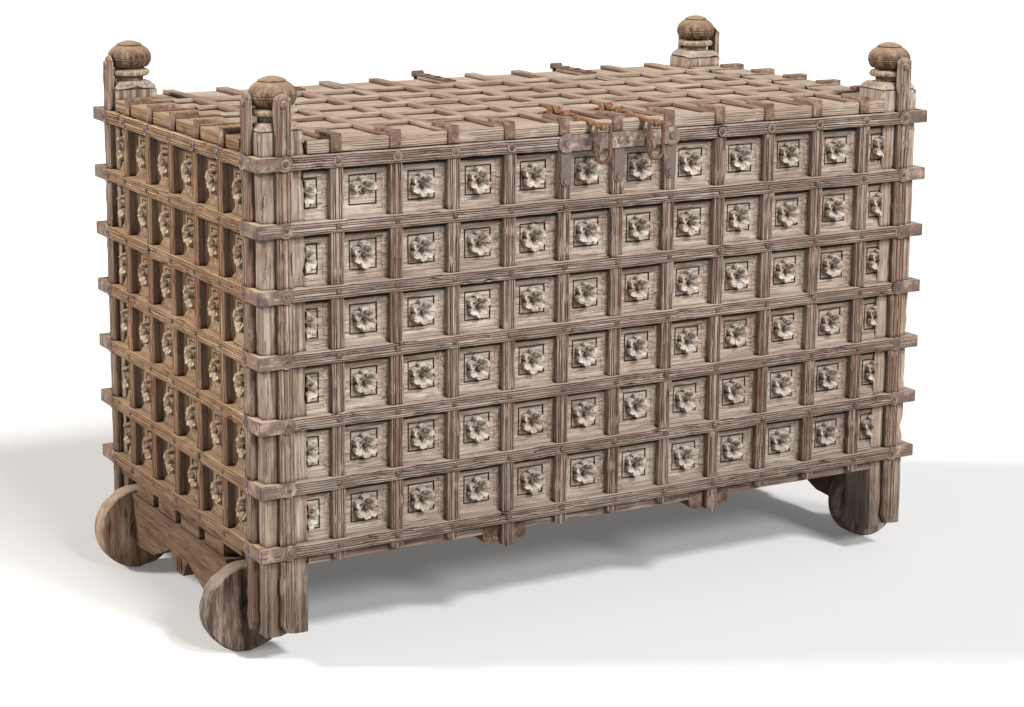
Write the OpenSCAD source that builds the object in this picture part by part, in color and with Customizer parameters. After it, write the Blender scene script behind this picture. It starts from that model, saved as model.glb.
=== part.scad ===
// Wheeled dowry chest. A boarded box stands between four corner posts and is bound by
// a lattice of battens with a carved rosette in each square. Iron straps wrap the
// corners, a boarded lid lifts on three hinges at the back and closes with two hasps,
// and four solid wheels turn on the stub ends of two axle beams.
// Origin on the floor below the middle of the whole object, X along the front with
// right positive as seen from the front, Y to the back, Z up. Millimetres.

/* [Lattice] */
// Spacing of the lattice battens, across and up
pitch = 130; // [120:1:150]
// Number of uprights on the front and on the back, an odd number
front_uprights = 11; // [7:2:13]
// Number of uprights on each end, an odd number
end_uprights = 5; // [3:2:7]
// Number of rows of squares
rows = 6; // [4:1:7]
// From the last upright to the middle of the post strap, on the front and back
front_end_bay = 111.6; // [95:0.2:125]
// From the last upright to the middle of the post strap, on the ends
side_end_bay = 117.6; // [95:0.2:125]
// Height of a band, the long horizontal batten
band_h = 27; // [20:0.5:34]
// How far a band stands out from the posts
band_t = 18; // [14:0.5:24]
// Width of an upright
upright_w = 27; // [20:0.5:34]
// How far an upright stands out from the posts
upright_t = 14; // [10:0.5:18]
// Thickness left on an upright or a post strap where a band crosses it
lap_t = 7; // [4:0.5:9]
// How far the front uprights run down below the lowest band
upright_tail = 24.5; // [10:0.5:40]
// Length of the pointed tip at the foot of a front upright
upright_tip = 8; // [3:0.5:14]

/* [Posts] */
// Width of a square post
post_w = 92; // [80:1:110]
// From the outer edge of a post to the middle of its strap, on the front and back
strap_in_front = 44; // [36:0.2:50]
// From the outer edge of a post to the middle of its strap, on the ends
strap_in_side = 52.8; // [36:0.2:56]
// Width of a post strap
strap_w = 32; // [24:0.5:38]
// How far a post strap stands out from the post
strap_t = 12; // [8.5:0.5:16]
// Height of the foot of a post above the floor
leg_gap = 62; // [40:1:80]
// Height of the strap's pointed end above the foot of the post
strap_foot = 9; // [4:0.5:20]
// Length of the strap's pointed end
strap_tip = 14; // [6:0.5:20]
// How far a post runs up past the top band
post_rise = 42.5; // [36:0.5:60]

/* [Finials] */
// Height of the tapered neck on a post
neck_h = 19; // [12:0.5:26]
// Width of the neck at its top
neck_w = 66; // [56:1:76]
// Radius of the two grooves that set off the collar
groove_r = 27; // [20:0.5:30]
// Height of the groove below the collar
lower_groove_h = 3; // [2:0.5:6]
// Radius of the collar at its sharp edge
collar_r = 44; // [34:0.5:45]
// Height of the collar
collar_h = 13; // [8:0.5:18]
// Height of the groove between the collar and the dome
upper_groove_h = 12; // [6:0.5:18]
// Radius of the dome at its widest
dome_r = 48.5; // [42:0.5:50]
// Height of the dome below its widest line
dome_low_h = 19; // [12:0.5:26]
// Height of the dome above its widest line
dome_high_h = 33; // [24:0.5:40]
// Radius of the small cap on the dome
cap_r = 23; // [16:0.5:28]
// Height of the small cap
cap_h = 11; // [7:0.5:14]
// Radius of the spigot that holds the finial in the post
spigot_r = 14; // [8:0.5:18]
// Length of that spigot
spigot_len = 36; // [20:1:60]
// Play round the spigot
spigot_play = 0.15; // [0.1:0.05:0.4]
// How far a strap's head bends over the dome, in degrees from its widest line
claw_turn = 30; // [24:1:54]
// Thickness of a strap's head at its tip
claw_tip_t = 6; // [3:0.5:8]
// Width of a strap's head at its tip
claw_tip_w = 20; // [12:0.5:28]
// Play between the dome and the straps that are let into it
claw_play = 0.3; // [0.2:0.05:0.6]

/* [Boards] */
// Thickness of the wall boards
board_t = 18; // [14:0.5:24]
// Thickness of the floor boards
floor_t = 18; // [14:0.5:24]
// Thickness of the coffer panels that fill the lattice
coffer_t = 14; // [12:0.5:20]
// Depth of each sunk square
coffer_depth = 11; // [7:0.5:11]
// Width of the sloping edge of each sunk square
coffer_slope = 12; // [6:0.5:16]
// Number of boards in each wall
wall_planks = 5; // [3:1:7]
// Number of wide boards in the floor
floor_planks = 5; // [3:1:7]
// Open joint between two boards
plank_gap = 0.5; // [0.3:0.1:1]

/* [Rosettes] */
// Width of the square block below a rosette
block_w = 57; // [48:1:64]
// Height of that block
block_t = 3; // [1.5:0.5:5]
// Radius of one petal
petal_r = 9.8; // [8:0.2:11]
// From the middle of the rosette to the middle of a petal
petal_at = 17.4; // [14:0.2:20]
// Height of the petals above the block
petal_t = 18; // [12:0.5:20]
// Radius of the middle of the rosette
eye_r = 12; // [9:0.5:15]
// Height of the middle of the rosette above the block
eye_t = 10; // [6:0.5:11]

/* [Underframe] */
// Height of the middle of the lowest band above the floor
first_band_z = 238; // [225:1:260]
// Width of a cross bearer below the floor
bearer_w = 105; // [80:1:125]
// Height of a cross bearer
bearer_h = 42; // [30:1:48]
// Columns from the middle of the chest out to each cross bearer
bearer_column = 2; // [1:1:2]
// Extra tail of the uprights that hang over the cross bearers
bearer_tail = 30; // [15:1:36]
// Height of the sill rails below the walls
sill_h = 22; // [14:0.5:28]
// Thickness of the front and back sill rails
sill_t = 20; // [14:0.5:28]
// Height of the end sills, down to the axle beams
end_sill_h = 43.5; // [36:0.5:50]
// Width of the slots in the end sills
slot_w = 30; // [22:1:36]
// Height of the slots in the end sills
slot_h = 29; // [18:0.5:32]

/* [Wheels] */
// Radius of a wheel
wheel_r = 92; // [85:1:96]
// Thickness of a wheel
wheel_t = 49; // [36:1:54]
// Rounding of a wheel's rim
rim_round = 5; // [2:0.5:9]
// From the outer face of the post in to the wheel axis, along the chest
axle_in = 5.6; // [2:0.2:20]
// Radius of the stub axles
stub_r = 14; // [10:0.5:18]
// Running clearance of a wheel on its stub axle
stub_play = 0.08; // [0.04:0.01:0.1]
// Radius of the shoulder between beam and wheel
shoulder_r = 22; // [19:0.5:30]
// Length of that shoulder
shoulder_t = 15.5; // [8:0.5:24]
// Clearance between a wheel and its shoulder
wheel_side_play = 0.5; // [0.3:0.1:1]
// Clearance between a wheel and the post beside it
wheel_post_gap = 8; // [4:0.5:14]
// Gap between the end of a stub axle and the post
stub_post_gap = 0.3; // [0.2:0.1:1]
// Thickness of an axle beam
beam_t = 44; // [36:1:50]
// Height of the axle beam's outer end above the floor
beam_end_z = 61; // [50:1:72]
// Height of the beam's lobes, where the arch begins
beam_lobe_z = 71; // [60:1:82]
// From the middle of the beam to the start of the arch
beam_lobe_y = 138; // [120:1:160]
// Height of the arch beside the pendant
arch_z = 114; // [100:1:125]
// Half width of the pendant at its top
pendant_top = 50; // [36:1:60]
// Half width of the pendant at its foot
pendant_foot = 22; // [14:1:30]
// Height of the pendant's foot above the floor
pendant_z = 73; // [62:1:90]
// Height of the moulding along the top edge of the beam
moulding_h = 9; // [5:0.5:14]
// How far that moulding stands out
moulding_t = 3; // [1.5:0.5:5]

/* [Irons and nails] */
// Thickness of the iron straps
iron_t = 3; // [2:0.5:4]
// Radius of the rounded end of a corner iron
lobe_r = 16; // [14:0.5:20]
// Radius of a nail head
head_r = 7; // [5:0.5:9]
// Height of a nail head
head_h = 3; // [2:0.5:4]
// Radius of a nail's shank
shank_r = 2.4; // [1.6:0.1:3]
// Length of shank below the head
shank_len = 8; // [6:0.5:10]
// Play round and below a shank
shank_play = 0.2; // [0.1:0.05:0.4]
// Radius of the washers along the top band
washer_r = 10.5; // [9:0.5:13]
// Thickness of those washers
washer_t = 1.2; // [0.8:0.1:2]
// Radius of the nail heads in the rosettes
stud_r = 5; // [3.5:0.5:7]
// Height of the nail heads in the rosettes
stud_h = 3; // [2:0.5:4]

/* [Lid] */
// Thickness of the lid boards
lid_t = 21.2; // [18:0.2:28]
// Gap between the closed lid and the walls
lid_rest = 0.3; // [0.2:0.05:0.5]
// Gap between the lid and the posts at each end
lid_end_gap = 3.6; // [3:0.1:5]
// How far the lid's front and back edges stand out past the posts
lid_over = 5; // [2:0.5:9]
// Number of boards in the lid
lid_planks = 6; // [4:1:8]
// Width of the battens on the lid
lid_batten_w = 27; // [20:0.5:34]
// Height of the battens on the lid
lid_batten_t = 9; // [7:0.5:12]
// Width of the iron straps over the lid's edge
edge_iron_w = 24; // [18:0.5:30]
// Thickness of the leg that turns down over the edge
edge_iron_t = 5; // [3:0.5:8]
// Thickness of the leg on top
edge_top_t = 3.5; // [2.5:0.5:5]
// Length of the leg on top of the lid
edge_iron_len = 95; // [60:1:120]
// Length of the leg on top of the end rails
end_iron_len = 52; // [36:1:70]
// Gap between the turned-down leg and the top band
edge_iron_gap = 2; // [1.5:0.1:4]
// Gap between the lid and the fixed rail at each end
rail_gap = 2; // [1.5:0.1:4]

/* [Hinges] */
// Columns from the middle of the chest out to the outer hinges
hinge_column = 3; // [2:1:3]
// Width of a hinge
hinge_w = 27; // [24:0.5:34]
// Radius of a hinge knuckle
knuckle_r = 8; // [6.5:0.5:10]
// Radius of a hinge pin
pin_r = 4; // [3:0.25:5]
// Running clearance of the lid knuckle on its pin
pin_play = 0.06; // [0.03:0.01:0.1]
// Clearance between two knuckles
knuckle_gap = 0.6; // [0.4:0.1:1]
// Thickness of the hinge leaves
leaf_t = 3.5; // [2.5:0.5:5]
// Length of the strap leaf on the lid
leaf_len = 170; // [120:5:220]
// Height of the plate leaf's stem above the top band
leaf_stem = 18; // [12:0.5:22]

/* [Hasps] */
// From the middle of the chest to each hasp
hasp_x = 65; // [60:0.5:75]
// Height of the hasp plate
plate_h = 33; // [28:0.5:38]
// Thickness of the hasp plate
plate_t = 3; // [2:0.5:4]
// Radius of the plate's rounded ends
plate_lobe_r = 20; // [17:0.5:24]
// Length of the iron straps that hang below the plate
drop_iron_len = 76.5; // [50:0.5:100]
// Drop of the padlock eyes below the middle of the top band
eye_drop = 12; // [8:0.5:16]
// Radius of the hole in a padlock eye
eye_hole_r = 8; // [6:0.25:9]
// Wall of iron round that hole
eye_wall = 5; // [3.5:0.5:6]
// Stand-off of the hole's edge from the plate
eye_stand = 7.5; // [5:0.5:10]
// Thickness of a padlock eye
eye_plate_t = 8; // [6:0.5:10]
// Radius of the rod that the hasp rings are made of
rod_r = 4.25; // [3.5:0.25:5]
// Inner width of a hasp ring
ring_in = 26; // [24:0.5:30]
// From the ring's pivot to the middle of its bottom bow
ring_len = 75; // [72:0.5:84]
// Gap between a hanging ring and the padlock eye behind it
ring_gap = 1.2; // [0.8:0.1:3]
// Distance of the hasp hinges from the front edge of the lid
hasp_back = 145.4; // [140:0.2:148]
// Length of the foot plate of a hasp hinge, along the chest
foot_len = 70; // [50:1:84]
// Width of that foot plate
foot_w = 24; // [20:0.5:26]
// Thickness of that foot plate
foot_t = 4; // [3:0.5:5]
// Radius of the link's barrel
barrel_r = 8; // [7:0.5:10]
// Thickness of the two cheeks of a hasp hinge
cheek_t = 6; // [4:0.5:8]
// Width of the link's bar
link_w = 14; // [10:0.5:16]
// Thickness of the link's bar
link_t = 7; // [5:0.5:8]
// Clearance beside the link's barrel and below it
link_play = 1; // [0.5:0.1:1.5]
// Gap between the link and the front edge of the lid that it leans on
link_rest = 0.3; // [0.2:0.05:0.6]

/* [Hidden] */
$fn = 48;

// Small overlap that makes a cut run clean through a face
cut = 1;

// Lattice lines, counted from the middle of each wall
front_last = (front_uprights - 1) / 2;
end_last = (end_uprights - 1) / 2;
front_strap_at = front_last * pitch + front_end_bay;
end_strap_at = end_last * pitch + side_end_bay;

// Outer and inner faces of the posts, from the middle of the chest
box_x = front_strap_at + strap_in_front;
box_y = end_strap_at + strap_in_side;
post_in_x = box_x - post_w;
post_in_y = box_y - post_w;
post_mid_x = box_x - post_w / 2;
post_mid_y = box_y - post_w / 2;
band_x = box_x + band_t;
band_y = box_y + band_t;

// Heights
base_z = first_band_z - band_h / 2;
top_band_z = first_band_z + rows * pitch;
rim_z = top_band_z + band_h / 2;
post_top_z = rim_z + post_rise;
neck_top_z = post_top_z + neck_h;
dome_z = neck_top_z + lower_groove_h + collar_h + upper_groove_h;
strap_top_z = dome_z + dome_low_h;
cap_angle = acos(cap_r / dome_r);
wall_h = rim_z - base_z;
clear_w = pitch - upright_w;

// Lid
lid_x = post_in_x - lid_end_gap;
lid_y = box_y + lid_over;
lid_z = rim_z + lid_rest;
lid_top_z = lid_z + lid_t;
batten_top_z = lid_top_z + lid_batten_t;
iron_top_z = batten_top_z + edge_top_t;

// Hinges
hinge_y = band_y + knuckle_r;
hinge_z = batten_top_z + leaf_t / 2;

// Hasps
hasp_pivot_y = -(lid_y - hasp_back);
hasp_pivot_z = lid_top_z + foot_t + barrel_r + link_play;
plate_face_y = -(band_y + plate_t);
eye_mid_y = plate_face_y - eye_stand - eye_hole_r;
eye_tip_y = eye_mid_y - eye_hole_r - eye_wall;
eye_mid_z = top_band_z - eye_drop;
ring_y = eye_tip_y - ring_gap - rod_r;
lean_z = lid_top_z + link_rest + link_t / 2;
link_fall = (hasp_pivot_z - lean_z) / hasp_back;
ring_z = hasp_pivot_z - link_fall * (hasp_pivot_y - ring_y);
ring_front_y = ring_y - barrel_r;
ring_bow = ring_in / 2 + rod_r;

// The origin stands below the middle of everything, ring to hinge knuckle
back_reach = hinge_y + knuckle_r;
plan_shift = (-ring_front_y - back_reach) / 2;

// Wheels and axle beams
axle_x = box_x - axle_in;
wheel_out_y = post_in_y - wheel_post_gap;
wheel_in_y = wheel_out_y - wheel_t;
shoulder_y = wheel_in_y - wheel_side_play;
beam_y = shoulder_y - shoulder_t;
stub_end_y = post_in_y - stub_post_gap;
beam_top_z = base_z - end_sill_h;

// Colours
pale_wood = [0.72, 0.66, 0.58];
brown_wood = [0.55, 0.45, 0.37];
batten_wood = [0.60, 0.50, 0.43];
tan_wood = [0.68, 0.57, 0.42];
dark_wood = [0.40, 0.31, 0.26];
iron = [0.52, 0.42, 0.40];
rust = [0.60, 0.38, 0.24];
dark_iron = [0.32, 0.32, 0.36];

// Moves a sub-part from the middle of the box to the middle of the whole object
module placed() {
    translate([0, plan_shift, 0]) children();
}

// Lays out a wall: x along it, y up, z out from the face of the posts
module wall(turn, out) {
    rotate([0, 0, turn]) translate([0, -out, 0]) rotate([90, 0, 0]) children();
}

// The same thing at the left and the right, mirrored
module both_ends() {
    children();
    mirror([1, 0, 0]) children();
}

// The same thing at the front and the back, mirrored
module both_fronts() {
    children();
    mirror([0, 1, 0]) children();
}

// A box between two corners
module span(low, high) {
    translate(low) cube(high - low);
}

// Height of the middle of a band, the lowest being 0
function band_z(row) = first_band_z + row * pitch;

// One prism with sloping sides, wide at the face (y = 0) and narrow at its depth
module sloped_prism(width, depth, slope, length) {
    linear_extrude(length, center = true)
        polygon([[-width / 2, cut], [-width / 2, 0], [slope - width / 2, -depth],
            [width / 2 - slope, -depth], [width / 2, 0], [width / 2, cut]]);
}

// A four-sided frustum: where two such prisms cross. Its wide side is at z = 0
module sunk_square(width, height, depth, slope) {
    intersection() {
        rotate([90, 0, 0]) sloped_prism(width, depth, slope, height);
        rotate([0, 90, 0]) rotate([0, 0, 90]) sloped_prism(height, depth, slope, width);
    }
}

// A square post with its tapered neck, drilled for the finial
module post() {
    difference() {
        union() {
            span([post_in_x, post_in_y, leg_gap], [box_x, box_y, post_top_z]);
            translate([post_mid_x, post_mid_y, post_top_z]) neck();
        }
        translate([post_mid_x, post_mid_y, neck_top_z - spigot_len - spigot_play])
            cylinder(h = spigot_len + spigot_play + cut, r = spigot_r + spigot_play);
    }
}

// The neck narrows from the post to the groove
module neck() {
    slope = (post_w - neck_w) / 2;
    outline = [[-post_w / 2, 0], [post_w / 2, 0], [post_w / 2 - slope, neck_h],
        [slope - post_w / 2, neck_h]];
    intersection() {
        rotate([90, 0, 0]) linear_extrude(post_w, center = true) polygon(outline);
        rotate([90, 0, 90]) linear_extrude(post_w, center = true) polygon(outline);
    }
}

// The turned finial: spigot, groove, sharp collar, groove, dome and cap
module finial() {
    low_dome = collar_h + lower_groove_h + upper_groove_h;
    widest = low_dome + dome_low_h;
    cap_z = widest + dome_high_h;
    collar_mid = lower_groove_h + collar_h / 2;
    profile = concat(
        [[0, 0], [groove_r, 0], [groove_r, lower_groove_h],
            [collar_r - collar_h / 4, lower_groove_h], [collar_r, collar_mid],
            [collar_r - collar_h / 4, lower_groove_h + collar_h],
            [groove_r, lower_groove_h + collar_h], [groove_r, low_dome],
            [dome_r - dome_low_h / 2, low_dome], [dome_r - 2, widest - dome_low_h / 3]],
        [for (step = [0:5]) let (turn = cap_angle * step / 5)
            [dome_r * cos(turn), widest + dome_high_h * sin(turn) / sin(cap_angle)]],
        [[cap_r + 2, cap_z], [cap_r + 2, cap_z + cap_h / 4],
            [cap_r * 0.6, cap_z + cap_h * 0.8], [0, cap_z + cap_h]]);
    translate([post_mid_x, post_mid_y, neck_top_z])
        translate([0, 0, -spigot_len]) cylinder(h = spigot_len + cut, r = spigot_r);
    difference() {
        translate([post_mid_x, post_mid_y, neck_top_z]) rotate_extrude() polygon(profile);
        span([front_strap_at - strap_w / 2 - claw_play, box_y - claw_play, dome_z - claw_play],
            [front_strap_at + strap_w / 2 + claw_play, band_y, strap_top_z + claw_play]);
        span([box_x - claw_play, end_strap_at - strap_w / 2 - claw_play, dome_z - claw_play],
            [band_x, end_strap_at + strap_w / 2 + claw_play, strap_top_z + claw_play]);
    }
}

// Notches that a run of bands leaves in something upright, down to the lap
module band_notches(at, width, thick) {
    for (row = [0:rows])
        translate([at - width / 2 - cut, band_z(row) - band_h / 2, lap_t])
            cube([width + 2 * cut, band_h, thick - lap_t + cut]);
}

// A point on the dome's outline or a little outside it: inwards from the post's face, and up
function dome_point(turn, out) = [post_w / 2 - (dome_r + out) * cos(turn),
    strap_top_z + (dome_high_h + out) * sin(turn) / sin(cap_angle)];

// The head of a strap: a claw that bends over the dome and narrows to its tip
module strap_claw(at) {
    root_t = post_w / 2 + strap_t - dome_r;
    arc = [for (step = [0:6]) claw_turn * step / 6];
    inner = [for (turn = arc) dome_point(turn, claw_play)];
    outer = [for (turn = arc) dome_point(turn, root_t + (claw_tip_t - root_t) * turn / claw_turn)];
    low_z = strap_top_z - strap_t / 2;
    high_z = outer[6][1] + cut;
    intersection() {
        translate([at, 0, 0]) rotate([0, 90, 0]) linear_extrude(strap_w, center = true)
            polygon(concat([[0, low_z], [0, strap_top_z]], inner,
                [for (step = [6:-1:0]) outer[step]], [[-strap_t, low_z]]));
        translate([0, 0, -post_w / 2]) linear_extrude(post_w) polygon([
            [at - strap_w / 2, low_z], [at - strap_w / 2, strap_top_z],
            [at - claw_tip_w / 2, high_z], [at + claw_tip_w / 2, high_z],
            [at + strap_w / 2, strap_top_z], [at + strap_w / 2, low_z]]);
    }
}

// A post strap with a pointed foot, half lapped under the bands, and a claw for a head
module post_strap(at) {
    strap_claw(at);
    foot_z = leg_gap + strap_foot;
    difference() {
        linear_extrude(strap_t) polygon([[at, foot_z], [at + strap_w / 2, foot_z + strap_tip],
            [at + strap_w / 2, strap_top_z], [at - strap_w / 2, strap_top_z],
            [at - strap_w / 2, foot_z + strap_tip]]);
        band_notches(at, strap_w, strap_t);
    }
}

// The straps of one wall, at its two posts
module wall_straps(strap_at) {
    for (side = [-1, 1]) post_strap(side * strap_at);
}

// One upright batten from a tail below the lowest band up to the rim
module upright(at, tail, tip) {
    foot_z = base_z - tail;
    difference() {
        linear_extrude(upright_t) polygon([[at - upright_w / 2, foot_z + tip],
            [at, foot_z], [at + upright_w / 2, foot_z + tip],
            [at + upright_w / 2, rim_z], [at - upright_w / 2, rim_z]]);
        band_notches(at, upright_w, upright_t);
    }
}

// The uprights of a long wall, with longer tails over the cross bearers
module long_wall_uprights() {
    for (column = [-front_last:front_last])
        upright(column * pitch,
            upright_tail + (abs(column) == bearer_column ? bearer_tail : 0), upright_tip);
}

// The uprights of an end wall stop level with the lowest band
module end_wall_uprights() {
    for (column = [-end_last:end_last]) upright(column * pitch, 0, 0);
}

// Holes for the nails along one band
module nail_holes(last, strap_at, depth) {
    for (column = [-last:last]) nail_hole(column * pitch, depth);
    for (side = [-1, 1]) nail_hole(side * strap_at, depth);
}

module nail_hole(at, depth) {
    translate([at, 0, band_t - depth - shank_play])
        cylinder(h = depth + shank_play + cut, r = shank_r + shank_play, $fn = 24);
}

// One band, half lapped over uprights and straps, thinned for the corner irons
module band(length, last, strap_at) {
    difference() {
        translate([-length / 2, -band_h / 2, 0]) cube([length, band_h, band_t]);
        for (column = [-last:last])
            translate([column * pitch - upright_w / 2, -band_h / 2 - cut, -cut])
                cube([upright_w, band_h + 2 * cut, lap_t + cut]);
        for (side = [-1, 1]) {
            translate([side * strap_at - strap_w / 2, -band_h / 2 - cut, -cut])
                cube([strap_w, band_h + 2 * cut, lap_t + cut]);
            iron_from = min(side * (strap_at - lobe_r), side * (length / 2 + cut));
            translate([iron_from, -band_h / 2 - cut, band_t - iron_t])
                cube([length / 2 + cut - strap_at + lobe_r, band_h + 2 * cut, iron_t + cut]);
        }
        nail_holes(last, strap_at, shank_len);
    }
}

module wall_bands(length, last, strap_at) {
    for (row = [0:rows]) translate([0, band_z(row), 0]) band(length, last, strap_at);
}

// Coffer panel of one wall: a slab with a sunk square in each opening
module coffers(half, last) {
    difference() {
        translate([-half, base_z, -coffer_t]) cube([2 * half, wall_h, coffer_t]);
        for (bay = [-last - 1:last], row = [0:rows - 1])
            translate([(bay + 0.5) * pitch, band_z(row) + pitch / 2, 0])
                sunk_square(clear_w, pitch - band_h, coffer_depth, coffer_slope);
    }
}

// A carved rosette: six petals round a lower middle, on a square block
module rosette() {
    linear_extrude(block_t) square(block_w, center = true);
    linear_extrude(block_t + petal_t) for (petal = [0:5])
        rotate(petal * 60 + 30) translate([petal_at, 0]) circle(petal_r, $fn = 32);
    linear_extrude(block_t + eye_t) circle(eye_r, $fn = 32);
}

// The rosettes of one wall, those in the end bays cut off at the posts
module rosettes(half, last) {
    floor_z = -coffer_depth;
    for (bay = [-last:last - 1], row = [0:rows - 1])
        translate([(bay + 0.5) * pitch, band_z(row) + pitch / 2, floor_z]) rosette();
    for (side = [-1, 1], row = [0:rows - 1]) intersection() {
        translate([side * (last + 0.5) * pitch, band_z(row) + pitch / 2, floor_z]) rosette();
        translate([side * half - (side > 0 ? pitch : 0), band_z(row), floor_z - cut])
            cube([pitch, pitch, pitch]);
    }
}

// A nail in a band: shank, head and a smaller crown
module nail(washer) {
    seat = band_t + (washer ? washer_t : 0);
    translate([0, 0, band_t - shank_len])
        cylinder(h = shank_len + cut, r = shank_r, $fn = 24);
    if (washer) translate([0, 0, band_t]) cylinder(h = washer_t, r = washer_r, $fn = 32);
    translate([0, 0, seat]) cylinder(h = head_h * 0.6, r = head_r, $fn = 24);
    translate([0, 0, seat]) cylinder(h = head_h, r = head_r * 0.65, $fn = 24);
}

// All the nails of one wall. Columns up to skip are left to the irons on the top band
module wall_nails(half, last, strap_at, skip) {
    for (row = [0:rows]) translate([0, band_z(row), 0]) {
        for (column = [-last:last])
            if (row < rows || len(search(abs(column), skip)) == 0)
                translate([column * pitch, 0, 0]) nail(row == rows);
        for (side = [-1, 1]) translate([side * strap_at, 0, 0]) nail(row == rows);
    }
    stud_z = block_t + eye_t - coffer_depth;
    for (bay = [-last:last - 1], row = [0:rows - 1])
        translate([(bay + 0.5) * pitch, band_z(row) + pitch / 2, stud_z])
            cylinder(h = stud_h, r = stud_r, $fn = 24);
}

// Wall boards with open joints, between the posts and behind the coffers
module boards(half) {
    board_h = wall_h / wall_planks;
    for (plank = [0:wall_planks - 1])
        translate([-half, base_z + plank * board_h, -coffer_t - board_t])
            cube([2 * half, board_h - (plank < wall_planks - 1 ? plank_gap : 0), board_t]);
}

// Floor boards fill the box from wall to wall and round the posts
module floor_boards() {
    inner_x = box_x - coffer_t - board_t;
    inner_y = box_y - coffer_t - board_t;
    board_w = 2 * post_in_y / floor_planks;
    color(brown_wood) placed() {
        for (plank = [0:floor_planks - 1])
            translate([-inner_x, plank * board_w - post_in_y, base_z])
                cube([2 * inner_x, board_w - plank_gap, floor_t]);
        both_fronts()
            span([-post_in_x, post_in_y, base_z], [post_in_x, inner_y, base_z + floor_t]);
    }
}

module cross_bearers() {
    color(dark_wood) placed() both_ends()
        translate([bearer_column * pitch - bearer_w / 2, -box_y, base_z - bearer_h])
            cube([bearer_w, 2 * box_y, bearer_h]);
}

// Long sills stop at the bearers. End sills are slotted below each upright
module sill_rails() {
    color(brown_wood) placed() {
        both_fronts() difference() {
            span([-post_in_x, box_y - sill_t, base_z - sill_h], [post_in_x, box_y, base_z]);
            both_ends() span([bearer_column * pitch - bearer_w / 2, 0, 0],
                [bearer_column * pitch + bearer_w / 2, band_y, base_z + cut]);
        }
        both_ends() end_sill();
    }
}

module end_sill() {
    outer_x = axle_x + beam_t / 2 - moulding_t;
    difference() {
        span([axle_x - beam_t / 2, -post_in_y, beam_top_z], [outer_x, post_in_y, base_z]);
        for (column = [-end_last:end_last])
            span([0, column * pitch - slot_w / 2, 0],
                [band_x, column * pitch + slot_w / 2, beam_top_z + slot_h]);
        both_fronts() span([0, beam_y - slot_w / 2, 0],
            [band_x, post_in_y + cut, beam_top_z + slot_h]);
    }
}

// Shaped beam below an end wall: two lobes, an arch and a pendant, with a moulded top
// edge, a shoulder and a stub axle at each end
module axle_beam() {
    half_outline = [[0, beam_top_z], [beam_y, beam_top_z], [beam_y, beam_end_z],
        [beam_lobe_y, beam_lobe_z], [pendant_top, arch_z], [pendant_foot, pendant_z],
        [0, pendant_z]];
    outline = concat(half_outline, [for (i = [len(half_outline) - 2:-1:1])
        [-half_outline[i][0], half_outline[i][1]]]);
    translate([axle_x, 0, 0]) {
        rotate([90, 0, 90]) linear_extrude(beam_t - moulding_t, center = true) polygon(outline);
        span([0, -beam_y, beam_top_z - moulding_h], [beam_t / 2, beam_y, beam_top_z]);
        both_fronts() {
            translate([0, beam_y - cut, wheel_r]) rotate([-90, 0, 0])
                cylinder(h = shoulder_t + cut, r = shoulder_r);
            translate([0, beam_y - cut, wheel_r]) rotate([-90, 0, 0])
                cylinder(h = stub_end_y - beam_y + cut, r = stub_r);
        }
    }
}

// A solid wheel with a rounded rim and a plain bore
module wheel() {
    translate([axle_x, wheel_in_y, wheel_r]) rotate([-90, 0, 0]) rotate_extrude($fn = 96)
        polygon(concat([[stub_r + stub_play, 0]],
            [for (turn = [-90:30:0]) rim_point(turn, rim_round)],
            [for (turn = [0:30:90]) rim_point(turn, wheel_t - rim_round)],
            [[stub_r + stub_play, wheel_t]]));
}

function rim_point(turn, at) =
    [wheel_r - rim_round + rim_round * cos(turn), at + rim_round * sin(turn)];

// One corner iron, wrapped round the end of a band, with a rounded end on each face
module corner_iron() {
    difference() {
        union() {
            span([front_strap_at, band_y - iron_t, -band_h / 2], [band_x, band_y, band_h / 2]);
            span([band_x - iron_t, end_strap_at, -band_h / 2], [band_x, band_y, band_h / 2]);
            translate([front_strap_at, band_y - iron_t, 0]) rotate([-90, 0, 0])
                cylinder(h = iron_t, r = lobe_r);
            translate([band_x - iron_t, end_strap_at, 0]) rotate([0, 90, 0])
                cylinder(h = iron_t, r = lobe_r);
        }
        translate([front_strap_at, band_y - iron_t - cut, 0]) rotate([-90, 0, 0])
            cylinder(h = iron_t + 2 * cut, r = shank_r + shank_play, $fn = 24);
        translate([band_x - iron_t - cut, end_strap_at, 0]) rotate([0, 90, 0])
            cylinder(h = iron_t + 2 * cut, r = shank_r + shank_play, $fn = 24);
    }
}

module corner_irons() {
    color(iron) placed() both_fronts() both_ends()
        for (row = [0:rows]) translate([0, 0, band_z(row)]) corner_iron();
}

// The fixed rail on top of an end wall, with a short batten at each upright
module top_rail() {
    inner_x = lid_x + rail_gap;
    color(tan_wood) placed() {
        span([inner_x, -post_in_y, rim_z], [box_x + lid_over, post_in_y, lid_top_z]);
        for (column = [-end_last:end_last])
            span([inner_x, column * pitch - lid_batten_w / 2, lid_top_z],
                [box_x + lid_over, column * pitch + lid_batten_w / 2, batten_top_z]);
    }
}

// An iron over an edge: one leg on top, one leg turned down, two nails on top and one
// below. x is the outward direction and the edge is at x = 0
module edge_iron(top_len) {
    low_z = rim_z + edge_iron_gap;
    span([-top_len, -edge_iron_w / 2, batten_top_z], [edge_iron_t, edge_iron_w / 2, iron_top_z]);
    span([0, -edge_iron_w / 2, low_z], [edge_iron_t, edge_iron_w / 2, iron_top_z]);
    translate([edge_iron_t, 0, low_z + head_r]) rotate([0, 90, 0])
        cylinder(h = head_h, r = head_r, $fn = 24);
    for (at = [0.3, 0.82]) translate([-top_len * at, 0, iron_top_z])
        cylinder(h = head_h * 0.6, r = head_r, $fn = 24);
}

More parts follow.
